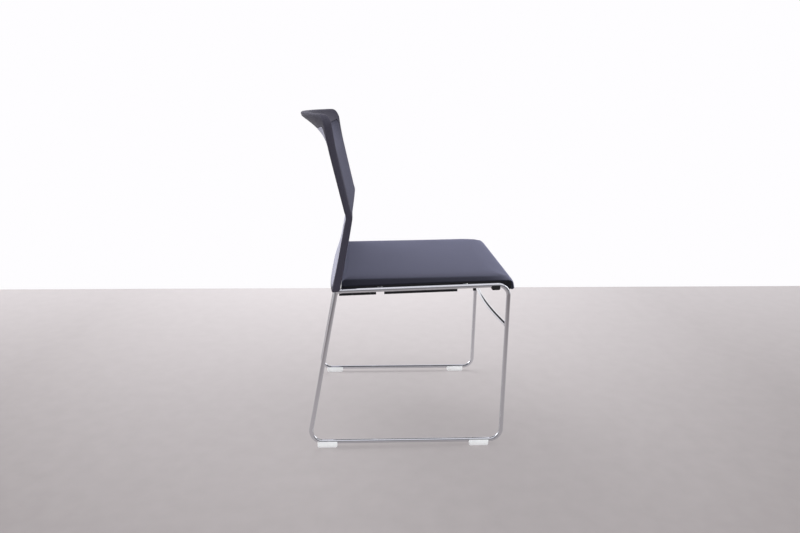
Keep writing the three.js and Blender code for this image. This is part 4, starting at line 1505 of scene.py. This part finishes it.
@dataclass
class Back:
    """The moulded back: dark frame on the rods' upper ends, pale panel behind and pad in front."""

    form: BackForm = field(default_factory=BackForm)
    member_width: float = 0.017
    outer_corner: float = 0.030
    edge: float = 0.005
    top_rail: float = 0.035
    seam_arch: float = 0.0135
    bottom_rail: float = 0.006
    window_corner: float = 0.014
    window_edge: float = 0.0012
    window_fit: float = 0.0004
    panel_thickness: float = 0.003
    panel_edge: float = 0.001
    pad_thickness: float = 0.0115
    pad_crown: float = 0.002
    pad_edge: float = 0.005
    pad_rim: tuple[float, float] = (0.003, 0.012)
    pad_rear: tuple[float, float] = (0.006, 0.002)
    screw_rounding: float = 0.0002
    edge_share: float = 0.62
    edge_steps: int = 9
    face_steps: int = 7
    seam_power: int = 8
    pad_counts: tuple[int, int] = (70, 56)
    panel_counts: tuple[int, int] = (110, 90)
    loop_counts: tuple[int, int, int] = (72, 96, 10)
    skin: PaddedForm = field(default_factory=lambda: PaddedForm(cap=0.002))

    @property
    def window(self) -> tuple[float, float, float]:
        """Half width, bottom and top of the frame's window."""
        return (self.form.half_width - self.member_width, self.form.bottom_z + self.bottom_rail,
                self.form.top_z - self.top_rail)

    def arched(self, x: np.ndarray, z: np.ndarray) -> np.ndarray:
        """Bend heights near the window's top, whose seam runs lower in the middle than at its ends."""
        half, bottom, top = self.window
        share = np.clip((z - bottom) / (top - bottom), 0, 1) ** self.seam_power
        return z + self.seam_arch * ((x / half) ** 2 - 0.5) * share

    def frame_section(self, length: np.ndarray) -> tuple[np.ndarray, np.ndarray]:
        """Give the frame's section as shares across it and insets from its faces.

        Args:
            length: How wide the frame is at each station.

        Returns:
            The distance from the outer edge and the inset from the face.
        """
        outer = np.minimum(self.edge, self.edge_share * length)[:, None]
        inner = self.window_edge
        wide = length[:, None]
        turn = np.linspace(0, math.pi / 2, self.edge_steps)[None]
        start, start_in = outer * (1 - np.cos(turn)), outer * (1 - np.sin(turn))
        middle = outer + (wide - outer - inner) * np.linspace(0, 1, self.face_steps)[None, 1:-1]
        back_turn = turn[:, ::2][:, ::-1]
        end = wide - inner * (1 - np.cos(back_turn))
        end_in = np.repeat(inner * (1 - np.sin(back_turn)), len(wide), 0)
        distance = np.concatenate([start, middle, end], 1)
        inset = np.concatenate([start_in, np.zeros_like(middle), end_in], 1)
        return distance, inset

    def frame_ring(self) -> bpy.types.Object:
        """Make the frame as a closed ring whose section rolls over its outer edge."""
        form = self.form
        half, bottom, top = self.window
        outer = rounded_loop(form.half_width, form.bottom_z, form.top_z, self.edge, self.outer_corner,
                             self.loop_counts)
        inner = rounded_loop(half, bottom, top, self.window_corner, self.window_corner, self.loop_counts)
        inner[:, 1] = self.arched(inner[:, 0], inner[:, 1])
        across = inner - outer
        length = np.linalg.norm(across, axis=1)
        distance, inset = self.frame_section(length)
        share = distance / length[:, None]
        x = outer[:, :1] + across[:, :1] * share
        z = outer[:, 1:] + across[:, 1:] * share
        front = np.stack([x, form.front(x, z) + inset, z], 2)
        rear = np.stack([x, form.rear(x, z) - inset, z], 2)[:, ::-1]
        section = np.concatenate([front, rear], 1)
        stations, around = section.shape[:2]
        faces = []
        for station in range(stations):
            after = (station + 1) % stations
            for point in range(around):
                beside = (point + 1) % around
                faces.append((station * around + point, station * around + beside,
                              after * around + beside, after * around + point))
        piece = shell_object("back_frame_moulding", section.reshape(-1, 3), faces, DARK_FRAME)
        room = [SWEEP.rod("room", form.frames.path(side)[:2], form.frames.rod_radius + FIT, CHROME, 32)
                for side in Side]
        cut(piece, *room)
        shaded(piece.data, DARK_FRAME)
        return piece

    def slab(self, name: str, edge: float, faces_apart: tuple[Surface, Surface], finish: Finish,
             counts: tuple[int, int]) -> bpy.types.Object:
        """Make a curved slab that fills the frame's window, with rolled edges.

        Args:
            name: The piece's name.
            edge: The radius of its rolled edges.
            faces_apart: The depth of its front surface and of its rear surface.
            finish: Its finish.
            counts: How many rows and columns its flat part has.

        Returns:
            The slab.
        """
        front, rear = faces_apart
        half, bottom, top = self.window
        half, bottom, top = half - self.window_fit, bottom + self.window_fit, top - self.window_fit
        corner = self.window_corner
        roll = edge * (1 - np.cos(np.linspace(0, math.pi / 2, 6)))
        bend = corner * (1 - np.cos(np.linspace(0.5, math.pi / 2, 8)))
        ends = np.unique(np.round(np.concatenate([roll, bend[bend > edge]]), 7))
        inner = np.linspace(bottom + corner, top - corner, counts[0])[1:-1]
        rows = np.concatenate([bottom + ends, inner, (top - ends)[::-1]])
        low = np.clip(corner - (rows - bottom), 0, corner)
        high = np.clip(corner - (top - rows), 0, corner)
        slip = corner - np.sqrt(corner ** 2 - np.maximum(low, high) ** 2)
        width = half - slip
        sides = 1 - roll / half
        shares = np.concatenate([-sides, np.linspace(-sides[-1], sides[-1], counts[1])[1:-1], sides[::-1]])
        x = width[:, None] * shares[None]
        z = np.repeat(rows[:, None], len(shares), 1)
        away = np.minimum(np.minimum(width[:, None] - np.abs(x), z - bottom), top - z)
        inset = edge - np.sqrt(edge ** 2 - np.clip(edge - away, 0, edge) ** 2)
        z = self.arched(x, z)
        near = np.stack([x, front(x, z) + inset, z], 2)
        far = np.stack([x, rear(x, z) - inset, z], 2)
        count, across = x.shape
        total = count * across
        index = np.arange(total).reshape(count, across)
        faces = [(index[r, c], index[r, c + 1], index[r + 1, c + 1], index[r + 1, c])
                 for r in range(count - 1) for c in range(across - 1)]
        faces += [tuple(total + v for v in reversed(face)) for face in faces]
        rim = [*index[0], *index[1:, -1], *index[-1, -2::-1], *index[-2:0:-1, 0]]
        faces += [(a, b, total + b, total + a) for a, b in zip(rim, rim[1:] + rim[:1])]
        points = np.concatenate([near.reshape(-1, 3), far.reshape(-1, 3)])
        return shell_object(name, points, faces, finish)

    def pad(self) -> bpy.types.Object:
        """Make the padded front, puffed as cloth and held at its rear and rim."""
        form = self.form
        half, bottom, top = self.window

        def front(x: np.ndarray, z: np.ndarray) -> np.ndarray:
            middle, reach = (bottom + top) / 2, (top - bottom) / 2
            rise = (1 - (x / half) ** 4) * (1 - ((z - middle) / reach) ** 8)
            return form.front(x, z) - self.pad_crown * rise + 0.5 * self.skin.cap * rise

        def rear(x: np.ndarray, z: np.ndarray) -> np.ndarray:
            return form.front(x, z) + self.pad_thickness

        def hold(place: np.ndarray) -> np.ndarray:
            x, y, z = place.T
            rim = np.minimum(np.minimum(half - np.abs(x), z - bottom), self.arched(x, top) - z)
            depth = y - form.front(x, z)
            rim_start, rim_ease = self.pad_rim
            rear_start, rear_ease = self.pad_rear
            inside = np.clip((rim - rim_start) / rim_ease, 0, 1)
            return 1 - inside * np.clip((rear_start - depth) / rear_ease, 0, 1)

        piece = self.slab("back_pad_cover", self.pad_edge, (front, rear), BACK_FABRIC, self.pad_counts)
        return self.skin.puff(piece, hold, BACK_FABRIC)

    def build(self) -> None:
        """Make and dress every piece of the back."""
        form = self.form
        settle(self.frame_ring(), "dark_frame", "back_frame")
        skins = (lambda x, z: form.rear(x, z) - self.panel_thickness, form.rear)
        panel = self.slab("back_panel_moulding", self.panel_edge, skins, PALE_PANEL, self.panel_counts)
        settle(panel, "pale_panel", "back_rear_panel")
        pad = settle(self.pad(), "upholstery", "back_pad")
        for side in Side:
            node = f"back_screw_{side.label}"
            settle(rounded_copy(f"{node}_zinc", node, ZINC, self.screw_rounding), "plain_steel", node)


@dataclass
class Glides:
    """The four clear glides that are clipped on the runners."""

    rounding: float = 0.0007

    def build(self) -> None:
        """Make and dress the four glides."""
        for row in Row:
            for side in Side:
                node = f"glide_{row.value}_{side.label}"
                settle(rounded_copy(f"{node}_clip", node, CLEAR, self.rounding), "clear_glide", node)


@dataclass(frozen=True)
class SoftLamp:
    """A soft rectangular lamp that the camera doesn't see, and polished surfaces only if it is mirrored."""

    name: str
    place: Place
    target: Place
    size: tuple[float, float]
    power: float
    mirrored: bool = True

    def hang(self) -> None:
        """Hang the lamp, turned to its target."""
        data = bpy.data.lights.new(self.name, "AREA")
        data.shape = "RECTANGLE"
        data.size, data.size_y = self.size
        data.energy = self.power
        lamp = bpy.data.objects.new(self.name, data)
        bpy.context.scene.collection.objects.link(lamp)
        aim = (Vector(self.target) - Vector(self.place)).to_track_quat("-Z", "Y").to_matrix().to_4x4()
        lamp.matrix_world = Matrix.Translation(self.place) @ aim
        lamp.visible_camera = False
        lamp.visible_glossy = self.mirrored


@dataclass
class Studio:
    """The plain floor, the light and the camera."""

    wall_x: float = 1.275
    floor_reach: float = 7.0
    camera_place: Place = (-1.95342, 0.10375, 0.88971)
    yaw: float = math.radians(-2.90)
    pitch: float = math.radians(13.70)
    roll: float = math.radians(0.52)
    lens: float = 32.4
    sensor_width: float = 36.0
    room_radius: float = 2.6
    room_bottom: float = 0.0
    room_top: float = 2.5
    wall_colour: Colour = (254, 253, 255)
    ceiling_colour: Colour = (222, 221, 228)
    ceiling_from: float = 0.12
    ceiling_full: float = 0.75
    ambient_colour: Colour = (244, 246, 255)
    ambient: float = 0.3
    room_from: float = 100.0
    room_turn: float = 160.0
    room_steps: int = 48
    lamps: tuple[SoftLamp, ...] = (
        SoftLamp("overhead", (0.6, -0.3, 3.3), (0.4, -0.2, 0), (4.2, 4.2), 48, mirrored=False),
        SoftLamp("key", (2.4, 1.3, 2.9), (0, 0, 0.4), (2.2, 1.8), 60, mirrored=False),
        SoftLamp("strip", (-0.6, 0, 3.2), (-0.6, 0, 0), (0.5, 5.0), 9),
        SoftLamp("fill", (-3.2, -0.8, 2.0), (0, 0, 0.5), (3.0, 2.4), 45, mirrored=False),
        SoftLamp("front", (0.6, -3.3, 1.9), (0.1, 0, 0.55), (1.6, 1.8), 16),
        SoftLamp("rear", (0.6, 3.4, 2.0), (0, 0.2, 0.5), (1.6, 1.8), 42),
    )

    def floor(self) -> None:
        """Lay the floor, which ends at the wall."""
        reach = self.floor_reach
        points = [(-reach, -reach, 0), (self.wall_x, -reach, 0), (self.wall_x, reach, 0), (-reach, reach, 0)]
        mesh = bpy.data.meshes.new("floor")
        mesh.from_pydata(points, [], [(0, 1, 2, 3)])
        mesh.materials.append(material_of(PaleFloor()))
        add_object("floor", mesh)

    def room(self) -> None:
        """Put up a dark half cylinder behind the camera, which only polished surfaces see."""
        points, faces = [], []
        for step in range(self.room_steps + 1):
            angle = math.radians(self.room_from + self.room_turn * step / self.room_steps)
            x, y = self.room_radius * math.cos(angle), self.room_radius * math.sin(angle)
            points += [(x, y, self.room_bottom), (x, y, self.room_top)]
            if step:
                faces.append((2 * step - 2, 2 * step, 2 * step + 1, 2 * step - 1))
        mesh = bpy.data.meshes.new("room")
        mesh.from_pydata(points, [], faces)
        mesh.materials.append(material_of(DarkRoom()))
        card = add_object("room", mesh)
        card.visible_camera = card.visible_diffuse = card.visible_shadow = card.visible_transmission = False

    def world(self) -> None:
        """Light the room weakly; the camera sees a white wall, and polished surfaces a grey ceiling too."""
        world = bpy.data.worlds.new("room_light")
        bpy.context.scene.world = world
        world.use_nodes = True
        tree = Tree(world.node_tree)
        wall = linear(self.wall_colour)
        looking = tree.add("SeparateXYZ", {0: tree.add("TexCoord").outputs["Generated"]})
        height = tree.add("MapRange", {"Value": looking.outputs["Z"], "From Min": self.ceiling_from,
                                       "From Max": self.ceiling_full})
        room = tree.add("MixRGB", {0: height.outputs["Result"], 1: wall, 2: linear(self.ceiling_colour)})
        weak = tree.add("Background", {0: linear(self.ambient_colour), 1: self.ambient})
        reflected = tree.add("Background", {0: room.outputs["Color"]})
        white = tree.add("Background", {0: wall})
        indirect = tree.add("MixShader", {0: tree.mirrored(), 1: weak.outputs[0], 2: reflected.outputs[0]})
        direct = tree.add("LightPath").outputs["Is Camera Ray"]
        shown = tree.add("MixShader", {0: direct, 1: indirect.outputs[0], 2: white.outputs[0]})
        tree.add("OutputWorld", {0: shown.outputs[0]})

    def camera(self) -> None:
        """Set the camera where the photograph was taken."""
        flat = math.cos(self.pitch)
        forward = Vector((flat * math.cos(self.yaw), flat * math.sin(self.yaw), -math.sin(self.pitch)))
        level = forward.cross(Vector((0, 0, 1))).normalized()
        upright = level.cross(forward)
        right = level * math.cos(self.roll) + upright * math.sin(self.roll)
        up = upright * math.cos(self.roll) - level * math.sin(self.roll)
        data = bpy.data.cameras.new("camera")
        data.lens = self.lens
        data.sensor_width = self.sensor_width
        camera = bpy.data.objects.new("camera", data)
        bpy.context.scene.collection.objects.link(camera)
        turn = Matrix((right, up, -forward)).transposed().to_4x4()
        camera.matrix_world = Matrix.Translation(Vector(self.camera_place) + Vector((0, SHIFT_Y, 0))) @ turn
        bpy.context.scene.camera = camera

    def build(self) -> None:
        """Set up the whole studio."""
        bpy.context.scene.view_settings.view_transform = "Standard"
        self.camera()
        self.floor()
        self.room()
        self.world()
        for lamp in self.lamps:
            lamp.hang()


def main() -> None:
    """Build the chair's pieces and the studio."""
    logging.basicConfig(level=logging.INFO, format="%(name)s: %(message)s")
    studio = Studio()
    studio.build()
    for part in (SideFrames(), Seat(), Back(), Glides()):
        part.build()
        log.info("%s is built", type(part).__name__)


if __name__ == "__main__":
    main()
